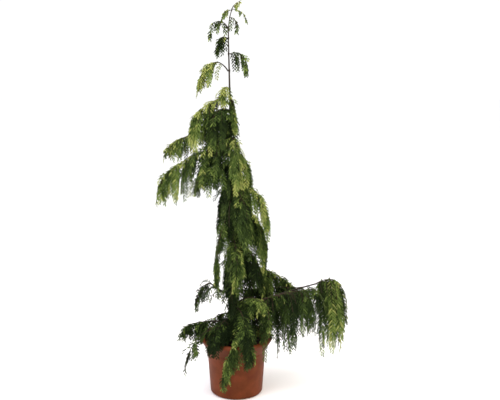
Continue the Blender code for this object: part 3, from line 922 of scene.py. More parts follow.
@dataclass
class Bed:
    """The compost's surface, with crumbs and chips of bark on it."""

    pot: Pot
    depth: float = 0.018
    unevenness: float = 0.0030
    crown: float = 0.004
    rings: int = 46
    segments: int = 120
    wall_gap: float = 0.0004
    swell_rate: float = 38.0
    swell_part: float = 0.7
    grit_rate: float = 240.0
    grit_part: float = 0.3
    crumbs: int = 1500
    crumb_size: Span = (0.0007, 0.0024)
    crumb_vary: Span = (0.7, 1.3)
    chips: int = 260
    chip_length: Span = (0.0025, 0.0065)
    chip_width: Span = (0.0012, 0.0026)
    chip_height: float = 0.0006
    chip_vary: Span = (0.75, 1.2)
    strewn: float = 0.97
    tilt: float = 0.3
    seed: int = 11
    finish: Compost = Compost("potting_compost_moist", "#20150e", 0.92, 1.4)
    chip_finish: Bark = Bark("bark_chip_shredded", "#4b3423", 0.85, 1.45, ridge="#6d5038", groove_shade="#20140d",
                             width_mm=1.6, length_mm=9.0)

    def level(self, x: float, y: float) -> float:
        """Height of the surface.

        Args:
            x: a place across the pot.
            y: the same place from front to back.

        Returns:
            The height there.
        """
        away = math.hypot(x, y) / self.reach()
        swell = noise.fractal(Vector((x, y, 0.3)) * self.swell_rate, 1.0, 2.0, 4)
        grit = noise.noise(Vector((x, y, 1.7)) * self.grit_rate)
        rough = self.unevenness * (self.swell_part * swell + self.grit_part * grit)
        return self.pot.compost_top - self.crown * away ** 2 + rough

    def reach(self) -> float:
        """Radius of the surface, where it meets the wall."""
        return self.pot.wall_radius(self.pot.compost_top) - self.pot.wall - self.wall_gap

    def build(self) -> None:
        """Make the bed, then scatter what lies on it."""
        reach = self.reach()
        bottom = self.pot.compost_top - self.depth
        profile = [(0.0, bottom), (reach, bottom)]
        for k in range(self.rings):
            profile.append((reach * (1 - k / self.rings), self.pot.compost_top))
        profile.append((0.0, self.pot.compost_top))
        points, faces = lathe(profile, self.segments)
        for point in points:
            if point[2] > bottom + 1e-6:
                point[2] = self.level(point[0], point[1])
        piece = mesh_object("compost_bed", points, faces, self.finish.make())
        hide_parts("compost")
        self.scatter()

    def scatter(self) -> None:
        """Scatter crumbs of compost and chips of bark."""
        draw = random.Random(self.seed)
        crumbs = Shapes()
        chips = Shapes()
        lump = np.array([[1, 0, 0], [-1, 0, 0], [0, 1, 0], [0, -1, 0], [0, 0, 1], [0, 0, -1]], float)
        lump_faces = np.array([[0, 2, 4], [2, 1, 4], [1, 3, 4], [3, 0, 4],
                               [2, 0, 5], [1, 2, 5], [3, 1, 5], [0, 3, 5]])
        block = np.array([[x, y, z] for z in (-1, 1) for y in (-1, 1) for x in (-1, 1)], float)
        block_faces = np.array([[0, 2, 1], [1, 2, 3], [4, 5, 6], [5, 7, 6], [0, 1, 4], [1, 5, 4],
                                [2, 6, 3], [3, 6, 7], [0, 4, 2], [2, 4, 6], [1, 3, 5], [3, 7, 5]])
        for number in range(self.crumbs + self.chips):
            away = self.strewn * self.reach() * math.sqrt(draw.random())
            angle = draw.uniform(0.0, math.tau)
            x, y = away * math.cos(angle), away * math.sin(angle)
            turn = draw.uniform(0.0, math.tau)
            tilts = [draw.uniform(-self.tilt, self.tilt) for _ in range(4)]
            across = np.array([[math.cos(turn), math.sin(turn), tilts[0]],
                               [-math.sin(turn), math.cos(turn), tilts[1]], [tilts[2], tilts[3], 1.0]])
            if number < self.crumbs:
                size = draw.uniform(*self.crumb_size)
                shape = lump * np.array([[draw.uniform(*self.crumb_vary)] * 3 for _ in lump]) * size
                crumbs.add_one(shape @ across + (x, y, self.level(x, y)), lump_faces)
            else:
                length, width = draw.uniform(*self.chip_length), draw.uniform(*self.chip_width)
                size = np.array([length, width, self.chip_height])
                shape = block * np.array([[draw.uniform(*self.chip_vary)] * 3 for _ in block]) * size
                chips.add_one(shape @ across + (x, y, self.level(x, y) + self.chip_height), block_faces)
        kinds = ("compost_crumbs", crumbs, self.finish), ("bark_chips", chips, self.chip_finish)
        for name, shapes, finish in kinds:
            for points, faces in shapes.portions(MOST_TRIANGLES):
                mesh_object(name, points, faces, finish.make(), smooth=False)


@dataclass
class Trunk:
    """The one slim trunk: a slight lean and sway, a root flare and a nodding tip."""

    foot: float = 0.212
    top: float = 1.588
    foot_x: float = -0.001
    lean: float = -0.029
    nod: float = 0.055
    nod_height: float = 0.165
    sway: float = 0.004
    foot_radius: float = 0.0125
    tip_radius: float = 0.0016
    flare: float = 0.008
    flare_height: float = 0.022
    bury: float = 0.006
    stations: int = 380
    sides: int = 32
    ridge_depth: float = 0.075
    ridges_round: float = 330.0
    ridges_up: float = 34.0

    # The bark's noise: how its octaves fall off, how much finer each is and how many there are.
    fibre: tuple[float, float, int] = (0.9, 2.1, 4)

    seat_share: float = 0.97
    nod_share: float = 0.4
    nod_curve: float = 3.5
    thinning: float = 0.8
    stations_curve: float = 1.1
    collar: float = 0.0016
    collar_height: float = 2.2
    collar_angle: float = 55.0
    finish: Bark = Bark("cypress_bark_stringy", "#2c251d", 0.85, 1.45)

    def centre(self, height: float) -> Array:
        """Where the axis is.

        Args:
            height: a height on the trunk.

        Returns:
            The axis's point there.
        """
        share = (height - self.foot) / (self.top - self.foot)
        nod = max(0.0, (height - (self.top - self.nod_height)) / self.nod_height)
        x = self.foot_x + self.lean * share + self.nod_share * self.nod * nod ** self.nod_curve
        return np.array([x, self.sway * math.sin(math.tau * share), height])

    def radius(self, height: float) -> float:
        """The trunk's radius, with the flare at the foot.

        Args:
            height: a height on the trunk.

        Returns:
            The radius there.
        """
        share = max(0.0, (height - self.foot) / (self.top - self.foot))
        plain = self.foot_radius + (self.tip_radius - self.foot_radius) * share ** self.thinning
        return plain + self.flare * math.exp(-max(0.0, height - self.foot) / self.flare_height)

    def seat(self, height: float, azimuth: float, rise: float, root: float) -> Array:
        """Where a limb's root meets the trunk's surface.

        Args:
            height: its height on the trunk.
            azimuth: its azimuth in degrees.
            rise: the slope at its root.
            root: the radius at its root.

        Returns:
            The point.
        """
        away = self.seat_share * self.radius(height) + root * abs(math.sin(math.radians(rise)))
        turn = math.radians(azimuth)
        return self.centre(height) + away * np.array([math.cos(turn), math.sin(turn), 0.0])

    def relief(self, angle: float, height: float, radius: float) -> float:
        """How far the bark stands out.

        Args:
            angle: the place round the trunk, in radians.
            height: its height.
            radius: the trunk's radius there.

        Returns:
            A share of the radius.
        """
        x = math.cos(angle) * radius * self.ridges_round
        y = math.sin(angle) * radius * self.ridges_round
        return self.ridge_depth * noise.fractal(Vector((x, y, height * self.ridges_up)), *self.fibre)

    def build(self, limbs: list[tuple[float, float, float]]) -> None:
        """Make the trunk with its bark and a collar under each limb.

        Args:
            limbs: the height, azimuth and root radius of each limb on the trunk.
        """
        low = self.foot - self.bury
        shares = np.linspace(0.0, 1.0, self.stations) ** self.stations_curve
        heights = low + (self.top - low) * shares
        path = np.array([self.centre(float(h)) for h in heights])
        angles = np.arange(self.sides) * math.tau / self.sides
        radii = np.empty((self.stations, self.sides))
        for row, height in enumerate(heights):
            radius = self.radius(float(height))
            for column, angle in enumerate(angles):
                radii[row, column] = radius * (1.0 + self.relief(angle, float(height), radius))
        for height, azimuth, root in limbs:
            turn = (np.degrees(angles) + 180.0 - azimuth) % 360.0 - 180.0
            near = np.exp(-((heights - height) / (self.collar_height * root)) ** 2)[:, None]
            radii += self.collar * near * np.exp(-(turn / self.collar_angle) ** 2)[None]
        points, faces = ring_tube(path, radii, self.sides, 0.0)
        piece = mesh_object("barked_trunk", points, faces, self.finish.make())
        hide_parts("trunk")


@dataclass
class Crown:
    """The boughs and every mass of foliage. A pair of numbers is a least and a most."""

    trunk: Trunk
    pot: Pot
    bark: Bark = Bark("cypress_twig_bark", "#2f2519", 0.80, 1.45, ridge="#463828", groove_shade="#18110b",
                      width_mm=1.2, length_mm=8.0)

    # Bare boughs: how finely they are made, the ridges of their bark and their tufts.
    bough_sides: int = 14
    bough_step: float = 0.0025
    bough_sink: float = 1.2
    ridge_depth: float = 0.09
    ridges_round: float = 2.2
    ridges_along: float = 0.16
    ridges_up: float = 9.0
    fibre: tuple[float, float, int] = (0.9, 2.0, 3)
    fewest_rings: int = 12
    bough_tuft_half_width: float = 0.012

    # A bough gets a pass of tufts for each of these, the steepest that they rise.
    bough_tuft_rises: tuple[float, ...] = (60.0, 10.0)

    # Stems of masses: their taper is a share of the root's radius at places along them.
    stem_sides: int = 6
    stem_sink: float = 1.5
    taper_places: tuple[float, ...] = (0.0, 0.25, 1.0)
    taper: tuple[float, ...] = (1.0, 0.55, 0.25)
    end_length: float = 0.36
    end_bend: float = 0.4
    end_fall: float = -84.0
    end_dip: float = 10.0
    end_root: float = 0.45
    end_tip: float = 0.0005
    steep_rise: float = 45.0

    # Hanging sprays, by the source's rule: place on the stem, turn from it, slopes and roll.
    tries: int = 4
    fewest_points: int = 4
    retry_length: float = 0.94
    place: float = 0.45
    place_spread: float = 0.35
    first_place: float = 0.05
    place_reach: float = 0.93
    spray_turn: Spread = Spread(72.0, 26.0)
    spray_lift: Spread = Spread(0.0, 8.0)
    spray_fall: Spread = Spread(-87.0, 4.0)
    spray_roll: Spread = Spread(0.0, 32.0)
    spray_vary: Span = (0.84, 1.06)
    hang_dip: float = 6.0
    hang_bend: float = 0.42
    hang_bend_vary: Span = (0.8, 1.25)
    hang_length: float = 0.12
    hang_sway: float = 7.0

    # The finer twigs that hang with each spray, against it.
    companions: int = 4
    companion_first: float = 0.02
    companion_shift: float = 0.022
    companion_turn: Span = (-50.0, 10.0)
    companion_length: Span = (0.40, 0.92)
    companion_lift: Span = (-16.0, 8.0)
    companion_roll: Span = (26.0, 62.0)

    # Shorter twigs that fill in between the sprays, for each spray.
    fillers: float = 2.4
    filler_places: Span = (0.02, 0.95)
    filler_turn: float = 60.0
    filler_length: Span = (0.5, 1.0)
    filler_lift: Span = (-14.0, 6.0)
    filler_fall: float = -88.0
    filler_roll: float = 50.0

    # Tufts over a stem.
    tuft_gap: float = 0.012
    tuft_gap_least: float = 0.6
    tuft_gap_vary: float = 0.3
    tuft_start: float = 0.008
    tuft_places: Span = (0.10, 1.0)
    tuft_length: float = 0.052
    tuft_most: float = 0.5
    tuft_vary: Span = (0.6, 1.15)
    tuft_width: float = 0.85
    tuft_turn: Span = (15.0, 75.0)
    tuft_lowest: float = -8.0
    tuft_fall: float = -82.0
    tuft_bend: Span = (0.6, 1.1)
    tuft_roll: float = 30.0
    steepest_tufted: float = -0.80

    # Twigs, the laterals along them and the ultimate twigs along those.
    twig_step: float = 0.014
    twig_radius: float = 0.0013
    twig_swell: float = 1.2
    shoot_tip: float = 0.0004
    half_spray: float = 0.66
    lateral_gap: float = 0.0060
    lateral_gap_vary: float = 0.2
    lateral_start: float = 0.6
    bare_tip: float = 0.001
    swell_most: float = 1.62
    swell_foot: float = 0.15
    swell_rise: float = 0.5
    swell_tip: float = 1.06
    swell_fall: float = 0.55
    full_half_width: float = 0.014
    narrowest_gap: float = 0.25
    lateral_angle: float = 44.0
    lateral_closing: float = 8.0
    lateral_angle_vary: float = 5.0
    lateral_tilt: float = 0.34
    lateral_vary: Span = (0.80, 1.12)
    lateral_bow: float = 0.20
    lateral_half_width: float = 0.0026
    ultimate_gap: float = 0.0041
    pair_start: float = 0.75
    pair_margin: float = 0.35
    ultimate_angle: float = 25.0
    ultimate_angle_vary: float = 6.0
    ultimate_tilt: float = 0.30
    ultimate_least: float = 0.0036
    ultimate_growth: float = 0.14
    ultimate_vary: Span = (0.75, 1.15)
    ultimate_bow: float = 0.12
    ultimate_widest: float = 0.42
    ultimate_half_width: float = 0.0017
    blade_roll: float = 0.5
    fold: float = 0.0008

    # Steps in the list of greens: how much darker or lighter, and how much that varies. The darker steps are
    # painted shade and the lighter ones painted light, partly with real paler new growth at the tips; the
    # spreads are random tone.
    end_light: float = 0.5
    strand_fade: float = 1.2
    strand_middle: float = 0.45
    strand_vary: float = 0.8
    companion_dark: float = 0.45
    companion_tone: float = 1.3
    companion_vary: float = 0.25
    filler_dark: float = 1.4
    filler_tone: float = 1.25
    filler_vary: float = 0.4
    tuft_vary_green: float = 0.6
    tip_light: float = 0.9
    tip_begins: float = 0.55
    tip_span: float = 0.3
    lateral_vary_green: float = 0.62

    # Short shaded twigs close about the trunk, and how long they are at heights on it.
    inner_gap: float = 0.0052
    inner_lowest: float = 0.28
    inner_highest: float = 1.20
    inner_turn: float = 137.5
    inner_rise: float = 30.0
    inner_root: float = 0.001
    inner_heights: tuple[float, ...] = (0.42, 0.50, 0.60, 0.90, 1.05)
    inner_reaches: tuple[float, ...] = (0.5, 0.6, 1.0, 1.0, 0.5)
    inner_length: Span = (0.08, 0.20)
    inner_left: float = 0.5
    inner_fall: float = -88.0
    inner_bend: float = 0.22
    inner_sway: float = 9.0
    inner_roll: float = 90.0
    inner_half_width: float = 0.014
    inner_shade: float = 3.7
    inner_vary: float = 0.8
    inner_seed: int = 5

    boughs: dict[str, Limb] = field(default_factory=lambda: BOUGHS)
    masses: dict[str, Mass] = field(default_factory=lambda: MASSES)
    shapes: dict[Green, Shapes] = field(default_factory=lambda: {green: Shapes() for green in Green})
    twigs: Shapes = field(default_factory=Shapes)
    ends: dict[str, Array] = field(default_factory=dict)

    def swell(self, share: Array) -> Array:
        """How wide a spray is along its length: most before its middle, where it is about 1."""
        widening = self.swell_most * (share + self.swell_foot) ** self.swell_rise
        return widening * (self.swell_tip - share) ** self.swell_fall

    def start_of(self, limb: Stem) -> Array:
        """Where a limb starts: on the trunk, or at the end of the bough that carries it.

        Args:
            limb: the bough or the mass.

        Returns:
            The point.
        """
        if limb.at is not None:
            return self.trunk.seat(limb.at, limb.azimuth, limb.rise, limb.root)
        return self.ends.get(limb.parent, self.trunk.centre(self.trunk.top))

    def build_boughs(self) -> None:
        """Make each bare bough with its bark, rooted a little inside what carries it."""
        finish = self.trunk.finish.make()
        for name, limb in self.boughs.items():
            coarse = limb.points(self.start_of(limb), least=3)
            self.ends[name] = coarse[-1]
            count = max(self.fewest_rings, round(limb.length / self.bough_step))
            path = smooth_path(coarse, count)
            path[0] -= self.bough_sink * limb.root * unit(path[1] - path[0])
            radii = np.empty((count, self.bough_sides))
            for row, radius in enumerate(np.linspace(limb.root, limb.tip, count)):
                for column in range(self.bough_sides):
                    angle = math.tau * column / self.bough_sides
                    radii[row, column] = radius * (1.0 + self.ridge(angle, row, path[row, 2]))
            draw = np.random.default_rng([ord(letter) for letter in name])
            for highest in self.bough_tuft_rises:
                self.add_tufts(limb.azimuth, path, limb.size * self.tuft_length, self.bough_tuft_half_width,
                               limb.shade, (limb.first, limb.last), highest, draw)
            points, faces = ring_tube(path, radii, self.bough_sides, limb.azimuth)
            piece = mesh_object(name.replace("_bough", "_barked_bough"), points, faces, finish)
            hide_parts(name)

    def ridge(self, angle: float, row: int, height: float) -> float:
        """How far a bough's bark stands out.

        Args:
            angle: the place round the bough, in radians.
            row: the ring along it.
            height: the ring's height.

        Returns:
            A share of the radius.
        """
        x = math.cos(angle) * self.ridges_round
        y = math.sin(angle) * self.ridges_round
        place = Vector((x, y, row * self.ridges_along + height * self.ridges_up))
        return self.ridge_depth * noise.fractal(place, *self.fibre)

    def clear_points(self, path: Array) -> int:
        """How many of a path's first points lie outside the pot and its compost."""
        held = self.pot.holds(path)
        return int(np.argmax(held)) if held.any() else len(path)

    def hanging_twig(self, mass: Mass, stem: Array, index: int,
                     member: int) -> tuple[Array, float, float] | None:
        """The source's seeded rule for one spray, and for the finer twigs that hang with it.

        Args:
            mass: the mass that the twig belongs to.
            stem: the points of its stem.
            index: the spray's number on the stem.
            member: 0 for the source's own spray, and a number of its own for each companion.

        Returns:
            The twig's path, its azimuth and its roll, or None where it has no room.
        """
        close = random.Random(f"{mass.azimuth}:{mass.length}:{index}:{member}")
        for attempt in range(self.tries):
            draw = random.Random(f"{mass.parent}:{mass.at}:{mass.azimuth}:{index}:{attempt}")
            share = (index + self.place + self.place_spread * draw.uniform(-1, 1)) / mass.sprays
            share = self.first_place + self.place_reach * min(1.0, share)
            turn = self.spray_turn.pick(draw)
            length = mass.length_at(share) * draw.uniform(*self.spray_vary) * self.retry_length ** attempt
            lift = self.spray_lift.pick(draw)
            fall = self.spray_fall.pick(draw)
            roll = self.spray_roll.pick(draw)
            if member:
                shift = close.uniform(-self.companion_shift, self.companion_shift) / mass.length
                share = min(1.0, max(self.companion_first, share + shift))
                turn += close.uniform(*self.companion_turn)
                length *= close.uniform(*self.companion_length)
                lift += close.uniform(*self.companion_lift)
                roll += close.uniform(*self.companion_roll) * (1 if member % 2 else -1)
            azimuth = mass.azimuth + (turn if index % 2 else -turn)
            path = self.fall_path(mass, stem, share, azimuth, length, lift, fall, close)
            clear = self.clear_points(path)
            last_try = attempt == self.tries - 1
            if clear == len(path) or (last_try and clear >= self.fewest_points):
                return path[:clear], azimuth, roll
        return None

    def filler_twig(self, mass: Mass, stem: Array, place: float,
                    draw: random.Random) -> tuple[Array, float] | None:
        """A shorter twig that hangs under the stem, between its sprays.

        Args:
            mass: the mass that the twig belongs to.
            stem: the points of its stem.
            place: where it starts, as a share of the stem.
            draw: the source of its variations.

        Returns:
            The twig's path and its azimuth, or None where it has no room.
        """
        azimuth = mass.azimuth + draw.uniform(-self.filler_turn, self.filler_turn)
        length = mass.drape * mass.spray_length * (1.0 - mass.shorten * place)
        length *= draw.uniform(*self.filler_length)
        lift = draw.uniform(*self.filler_lift)
        path = self.fall_path(mass, stem, place, azimuth, length, lift, self.filler_fall, draw)
        clear = self.clear_points(path)
        return (path[:clear], azimuth) if clear >= self.fewest_points else None

    def fall_path(self, mass: Mass, stem: Array, share: float, azimuth: float, length: float, lift: float,
                  fall: float, draw: random.Random) -> Array:
        """The path of a twig that leaves the stem at half its slope and bends down.

        Args:
            mass: the mass that the twig belongs to.
            stem: the points of its stem.
            share: where it starts, as a share of the stem.
            azimuth: its azimuth in degrees.
            length: its length.
            lift: how much steeper than half the stem's slope it starts.
            fall: its slope at its end.
            draw: the source of its sway.

        Returns:
            The points of the path.
        """
        place = share * (len(stem) - 1)
        low = min(int(place), len(stem) - 2)
        start = stem[low] + (stem[low + 1] - stem[low]) * (place - low)
        rise = 0.5 * slope_of(stem[low + 1] - stem[low]) - self.hang_dip - mass.droop + lift
        bend = self.hang_bend * min(1.0, self.hang_length / length) * draw.uniform(*self.hang_bend_vary)
        return arch(start, azimuth, length, rise, fall, bend, self.steps(length, least=4), self.hang_sway,
                    draw.uniform(0.0, math.tau))

    def steps(self, length: float, least: int) -> int:
        """How many stretches a twig has."""
        return max(least, round(length / self.twig_step))

    def end_twig(self, mass: Mass, stem: Array) -> Array:
        """The twig that carries the stem on to the mass's furthest tip.

        Args:
            mass: the mass.
            stem: the points of its stem.

        Returns:
            The twig's points.
        """
        slope = slope_of(stem[-1] - stem[-2])
        length = self.end_length * mass.spray_length
        fall = slope if mass.rise > self.steep_rise else min(slope - self.end_dip, self.end_fall)
        return arch(stem[-1], mass.azimuth + mass.veer, length, slope, fall, self.end_bend,
                    self.steps(length, least=4))

    def dress(self, path: Array, azimuth: float, roll: float, half_width: float, shade: float,
              draw: np.random.Generator) -> None:
        """Set laterals along a twig, and ultimate twigs along each lateral.

        Args:
            path: the twig's points.
            azimuth: its azimuth in degrees.
            roll: how far its spray is turned about it, in degrees.
            half_width: how far the spray reaches to each side.
            shade: its green, as a place in the list of greens.
            draw: the source of its small variations.
        """
        along = distances(path)
        total = float(along[-1])
        gap = self.lateral_gap * min(1.0, half_width / self.full_half_width + self.narrowest_gap)
        places = np.arange(self.lateral_start * gap, total - self.bare_tip, gap)
        count = len(places)
        if count < 2:
            return
        places = places + gap * draw.uniform(-self.lateral_gap_vary, self.lateral_gap_vary, count)
        share = np.clip(places / total, 0.0, 1.0)
        root = sample(path, along, places)
        heading = unit(sample(unit(np.gradient(path, axis=0)), along, places))
        normal = unit(np.cross(heading, side_of(azimuth)))
        turn = math.radians(roll)
        across = math.cos(turn) * np.cross(normal, heading) + math.sin(turn) * normal
        facing = np.cross(heading, across)
        sign = np.where(np.arange(count) % 2 == 0, 1.0, -1.0)[:, None]
        vary = draw.uniform(-self.lateral_angle_vary, self.lateral_angle_vary, count)
        angle = np.radians(self.lateral_angle - self.lateral_closing * share + vary)[:, None]
        tilt = draw.uniform(-self.lateral_tilt, self.lateral_tilt, count)[:, None]
        aside = sign * across * np.cos(tilt) - facing * np.sin(tilt)
        out = np.cos(angle) * heading + np.sin(angle) * aside
        reach = half_width * self.swell(share) * draw.uniform(*self.lateral_vary, count)
        length = (reach / np.sin(angle[:, 0]))[:, None]
        middle = root + 0.5 * length * out
        tip = middle + 0.5 * length * unit(out + self.lateral_bow * DOWN)
        laterals = Blades(root, middle, tip, unit(np.cross(heading, out)) * sign)
        kept = ~(self.pot.holds(tip) | self.pot.holds(middle))
        # The lateral's outer part is painted lighter: partly its real paler new growth, partly painted
        # light.
        tint = (shade - self.tip_light * np.clip((share - self.tip_begins) / self.tip_span, 0.0, 1.0)
                + draw.normal(0.0, self.lateral_vary_green, count))
        number = np.clip(np.round(tint), 0, len(GREENS) - 1).astype(int)
        for index in np.unique(number[kept]):
            chosen = kept & (number == index)
            store = self.shapes[GREENS[index]]
            self.add_blades(store, laterals.only(chosen), self.lateral_half_width, draw)
            self.add_ultimates(store, laterals.only(chosen), length[chosen], draw)

    def add_ultimates(self, store: Shapes, laterals: Blades, length: Array,
                      draw: np.random.Generator) -> None:
        """Set pairs of ultimate twigs along each lateral, longer near its root.

        Args:
            store: where they are kept.
            laterals: the laterals.
            length: their lengths.
            draw: the source of small variations.
        """
        root, middle, tip = laterals.foot, laterals.middle, laterals.point
        pairs = np.maximum(1, np.round(length / self.ultimate_gap)).astype(int)
        most = int(pairs.max())
        step = np.arange(most)[None, :, None]
        share = (step + self.pair_start) / (pairs[:, None] + self.pair_margin)
        used = np.broadcast_to(step[..., 0] < pairs, (len(root), most))
        first = root[:, None] + (middle - root)[:, None] * 2.0 * share
        second = middle[:, None] + (tip - middle)[:, None] * (2.0 * share - 1.0)
        place = np.where(share < 0.5, first, second)
        onward = np.where(share < 0.5, unit(middle - root)[:, None], unit(tip - middle)[:, None])
        facing = np.broadcast_to(laterals.facing[:, None], onward.shape)
        across = unit(np.cross(facing, onward))
        shape = (len(root), most, 1)
        for sign in (1.0, -1.0):
            vary = draw.uniform(-self.ultimate_angle_vary, self.ultimate_angle_vary, shape)
            angle = np.radians(self.ultimate_angle + vary)
            tilt = draw.uniform(-self.ultimate_tilt, self.ultimate_tilt, shape)
            heading = unit(np.cos(angle) * onward + sign * np.sin(angle) * across + tilt * facing)
            size = self.ultimate_least + self.ultimate_growth * length[:, None] * (1.0 - share)
            size = size * draw.uniform(*self.ultimate_vary, shape)
            foot = place[used]
            point = foot + size[used] * (heading[used] + self.ultimate_bow * DOWN)
            widest = foot + self.ultimate_widest * (point - foot)
            twigs = Blades(foot, widest, point, facing[used])
            self.add_blades(store, twigs, self.ultimate_half_width, draw)

    def add_blades(self, store: Shapes, blades: Blades, half_width: float,
                   draw: np.random.Generator) -> None:
        """Keep shoots as narrow blades of two triangles, folded along the middle.

        Args:
            store: where they are kept.
            blades: the shoots. Those that end in the pot are left out.
            half_width: how far each reaches to both sides at its widest.
            draw: the source of their roll.
        """
        blades = blades.only(~self.pot.holds(blades.point))
        heading = unit(blades.point - blades.foot)
        roll = draw.uniform(-self.blade_roll, self.blade_roll, (len(heading), 1))
        level = np.cross(heading, blades.facing)
        across = np.cos(roll) * level + np.sin(roll) * blades.facing
        upward = np.cos(roll) * blades.facing - np.sin(roll) * level
        belly = blades.middle + self.fold * upward
        left = belly + half_width * across
        right = belly - half_width * across
        store.add(np.stack([blades.foot, left, blades.point, right], 1), np.array([[0, 1, 2], [0, 2, 3]]))

    def add_shoot(self, store: Shapes, path: Array, azimuth: float, first: float, last: float,
                  sides: int) -> None:
        """Keep one tapering shoot along a path."""
        store.add_one(*ring_tube(path, np.linspace(first, last, len(path)), sides, azimuth))

    def grow_mass(self, name: str, mass: Mass) -> None:
        """Grow one mass: its stem, its hanging twigs and all that they carry.

        Args:
            name: the mass's name.
            mass: the mass.
        """
        draw = np.random.default_rng([ord(letter) for letter in name])
        coarse = mass.points(self.start_of(mass), least=4)
        stem = smooth_path(coarse, self.steps(mass.length, least=8))
        rooted = stem.copy()
        rooted[0] -= self.stem_sink * mass.root * unit(stem[1] - stem[0])
        taper = mass.root * np.interp(np.linspace(0.0, 1.0, len(rooted)), self.taper_places, self.taper)
        self.twigs.add_one(*ring_tube(rooted, taper, self.stem_sides, mass.azimuth))
        half_width = self.half_spray * mass.spray_width
        # The mass's green, painted lighter or darker by its tone as painted light and shade.
        shade = (len(GREENS) - 1) * (1.0 - mass.tone)
        tuft = mass.tufted * min(self.tuft_length, self.tuft_most * mass.spray_length)
        # The tufts over the stem are painted lighter, as painted light on its top.
        self.add_tufts(mass.azimuth, stem, tuft, self.tuft_width * half_width, shade - mass.tuft_light,
                       self.tuft_places, mass.tuft_rise, draw)
        last = self.end_twig(mass, stem)
        # The end twig is painted lighter: partly real new growth, partly painted light.
        self.dress(last, mass.azimuth, 0.0, half_width, shade - self.end_light, draw)
        self.add_shoot(self.twigs, last, mass.azimuth, self.end_root * mass.root, self.end_tip,
                       sides=4)
        for index in range(mass.sprays):
            self.hang_sprays(mass, stem, index, half_width, shade, draw)
        between = random.Random(name)
        for _ in range(round(self.fillers * mass.fullness * mass.sprays)):
            filler = self.filler_twig(mass, stem, between.uniform(*self.filler_places), between)
            if filler is not None:
                path, azimuth = filler
                roll = between.uniform(-self.filler_roll, self.filler_roll)
                # Fillers are painted darker, as painted shade between the sprays.
                darker = self.filler_dark * (self.filler_tone - mass.tone)
                here = shade + darker + draw.normal(0.0, self.filler_vary)
                self.add_spray(path, azimuth, roll, half_width, here, draw)

    def hang_sprays(self, mass: Mass, stem: Array, index: int, half_width: float, shade: float,
                    draw: np.random.Generator) -> None:
        """Hang one of the source's sprays and its finer companions.

        Args:
            mass: the mass that they belong to.
            stem: the points of its stem.
            index: the spray's number on the stem.
            half_width: how far a spray reaches to each side.
            shade: the mass's green.
            draw: the source of small variations.
        """
        # Sprays near the stem's root are painted darker and those near its end lighter: partly older and
        # newer growth, partly painted shade and light.
        fade = self.strand_fade * (self.strand_middle - index / mass.sprays)
        strand = shade + fade + draw.normal(0.0, self.strand_vary)
        for member in range(1 + round(self.companions * min(1.0, mass.fullness))):
            grown = self.hanging_twig(mass, stem, index, member)
            if grown is None:
                continue
            path, azimuth, roll = grown
            # Companions are painted darker, as painted shade behind the source's spray.
            darker = self.companion_dark * member * (self.companion_tone - mass.tone)
            here = strand + darker + draw.normal(0.0, self.companion_vary)
            self.dress(path, azimuth, roll, half_width, here, draw)
            cut = max(2, len(path) // 3)  # its first third is wood
            wood = self.twig_swell * self.twig_radius
            self.add_shoot(self.twigs, path[:cut + 1], azimuth, wood, self.twig_radius, sides=4)
            store = self.shapes[green_at(here)]
            self.add_shoot(store, path[cut:], azimuth, self.twig_radius, self.shoot_tip, sides=3)

    def add_tufts(self, azimuth: float, stem: Array, length: float, half_width: float, shade: float,
                  reach: Span, highest: float, draw: np.random.Generator) -> None:
        """Set short twigs over a stem, which rise from it and then droop.

        Args:
            azimuth: the stem's azimuth in degrees.
            stem: its points.
            length: how long a tuft is.
            half_width: how far a tuft reaches to each side.
            shade: its green.
            reach: where they begin and end, as shares of the stem.
            highest: the steepest that one rises, in degrees.
            draw: the source of small variations.
        """
        along = distances(stem)
        gap = self.tuft_gap * max(self.tuft_gap_least, length / self.tuft_length)
        places = np.arange(max(self.tuft_start, reach[0] * along[-1]), reach[1] * along[-1], gap)
        for number, place in enumerate(places):
            here = float(place) + gap * draw.uniform(-self.tuft_gap_vary, self.tuft_gap_vary)
            slope = np.interp(here, along[1:], np.diff(stem[:, 2]) / np.diff(along))
            if slope < self.steepest_tufted:
                break
            turned = azimuth + draw.uniform(*self.tuft_turn) * (1.0 if number % 2 else -1.0)
            size = length * draw.uniform(*self.tuft_vary)
            rise = draw.uniform(self.tuft_lowest, highest)
            path = arch(sample(stem, along, here), turned, size, rise, self.tuft_fall,
                        draw.uniform(*self.tuft_bend), self.steps(size, least=3))
            if not self.pot.holds(path).any():
                roll = draw.uniform(-self.tuft_roll, self.tuft_roll)
                self.add_spray(path, turned, roll, half_width,
                               shade + draw.normal(0.0, self.tuft_vary_green), draw)

    def add_spray(self, path: Array, azimuth: float, roll: float, half_width: float, shade: float,
                  draw: np.random.Generator) -> None:
        """Dress a green twig and keep its own axis.

        Args:
            path: the twig's points.
            azimuth: its azimuth in degrees.
            roll: how far its spray is turned about it, in degrees.
            half_width: how far the spray reaches to each side.
            shade: its green.
            draw: the source of its small variations.
        """
        self.dress(path, azimuth, roll, half_width, shade, draw)
        store = self.shapes[green_at(shade)]
        self.add_shoot(store, path, azimuth, self.twig_radius, self.shoot_tip, sides=3)

    def grow_inner(self) -> None:
        """Grow the short shaded twigs that hang close about the trunk."""
        draw = np.random.default_rng(self.inner_seed)
        for number, height in enumerate(np.arange(self.inner_lowest, self.inner_highest, self.inner_gap)):
            azimuth = self.inner_turn * number
            start = self.trunk.seat(float(height), azimuth, self.inner_rise, self.inner_root)
            reach = float(np.interp(height, self.inner_heights, self.inner_reaches))
            leftward = max(0.0, -math.cos(math.radians(azimuth)))
            length = draw.uniform(*self.inner_length) * reach * (1.0 - self.inner_left * leftward)
            path = arch(start, azimuth, length, 0.0, self.inner_fall, self.inner_bend,
                        self.steps(length, least=1), self.inner_sway, draw.uniform(0.0, math.tau))
            if not self.pot.holds(path).any():
                roll = draw.uniform(-self.inner_roll, self.inner_roll)
                self.add_spray(path, azimuth, roll, self.inner_half_width,
                               self.inner_shade + draw.normal(0.0, self.inner_vary), draw)

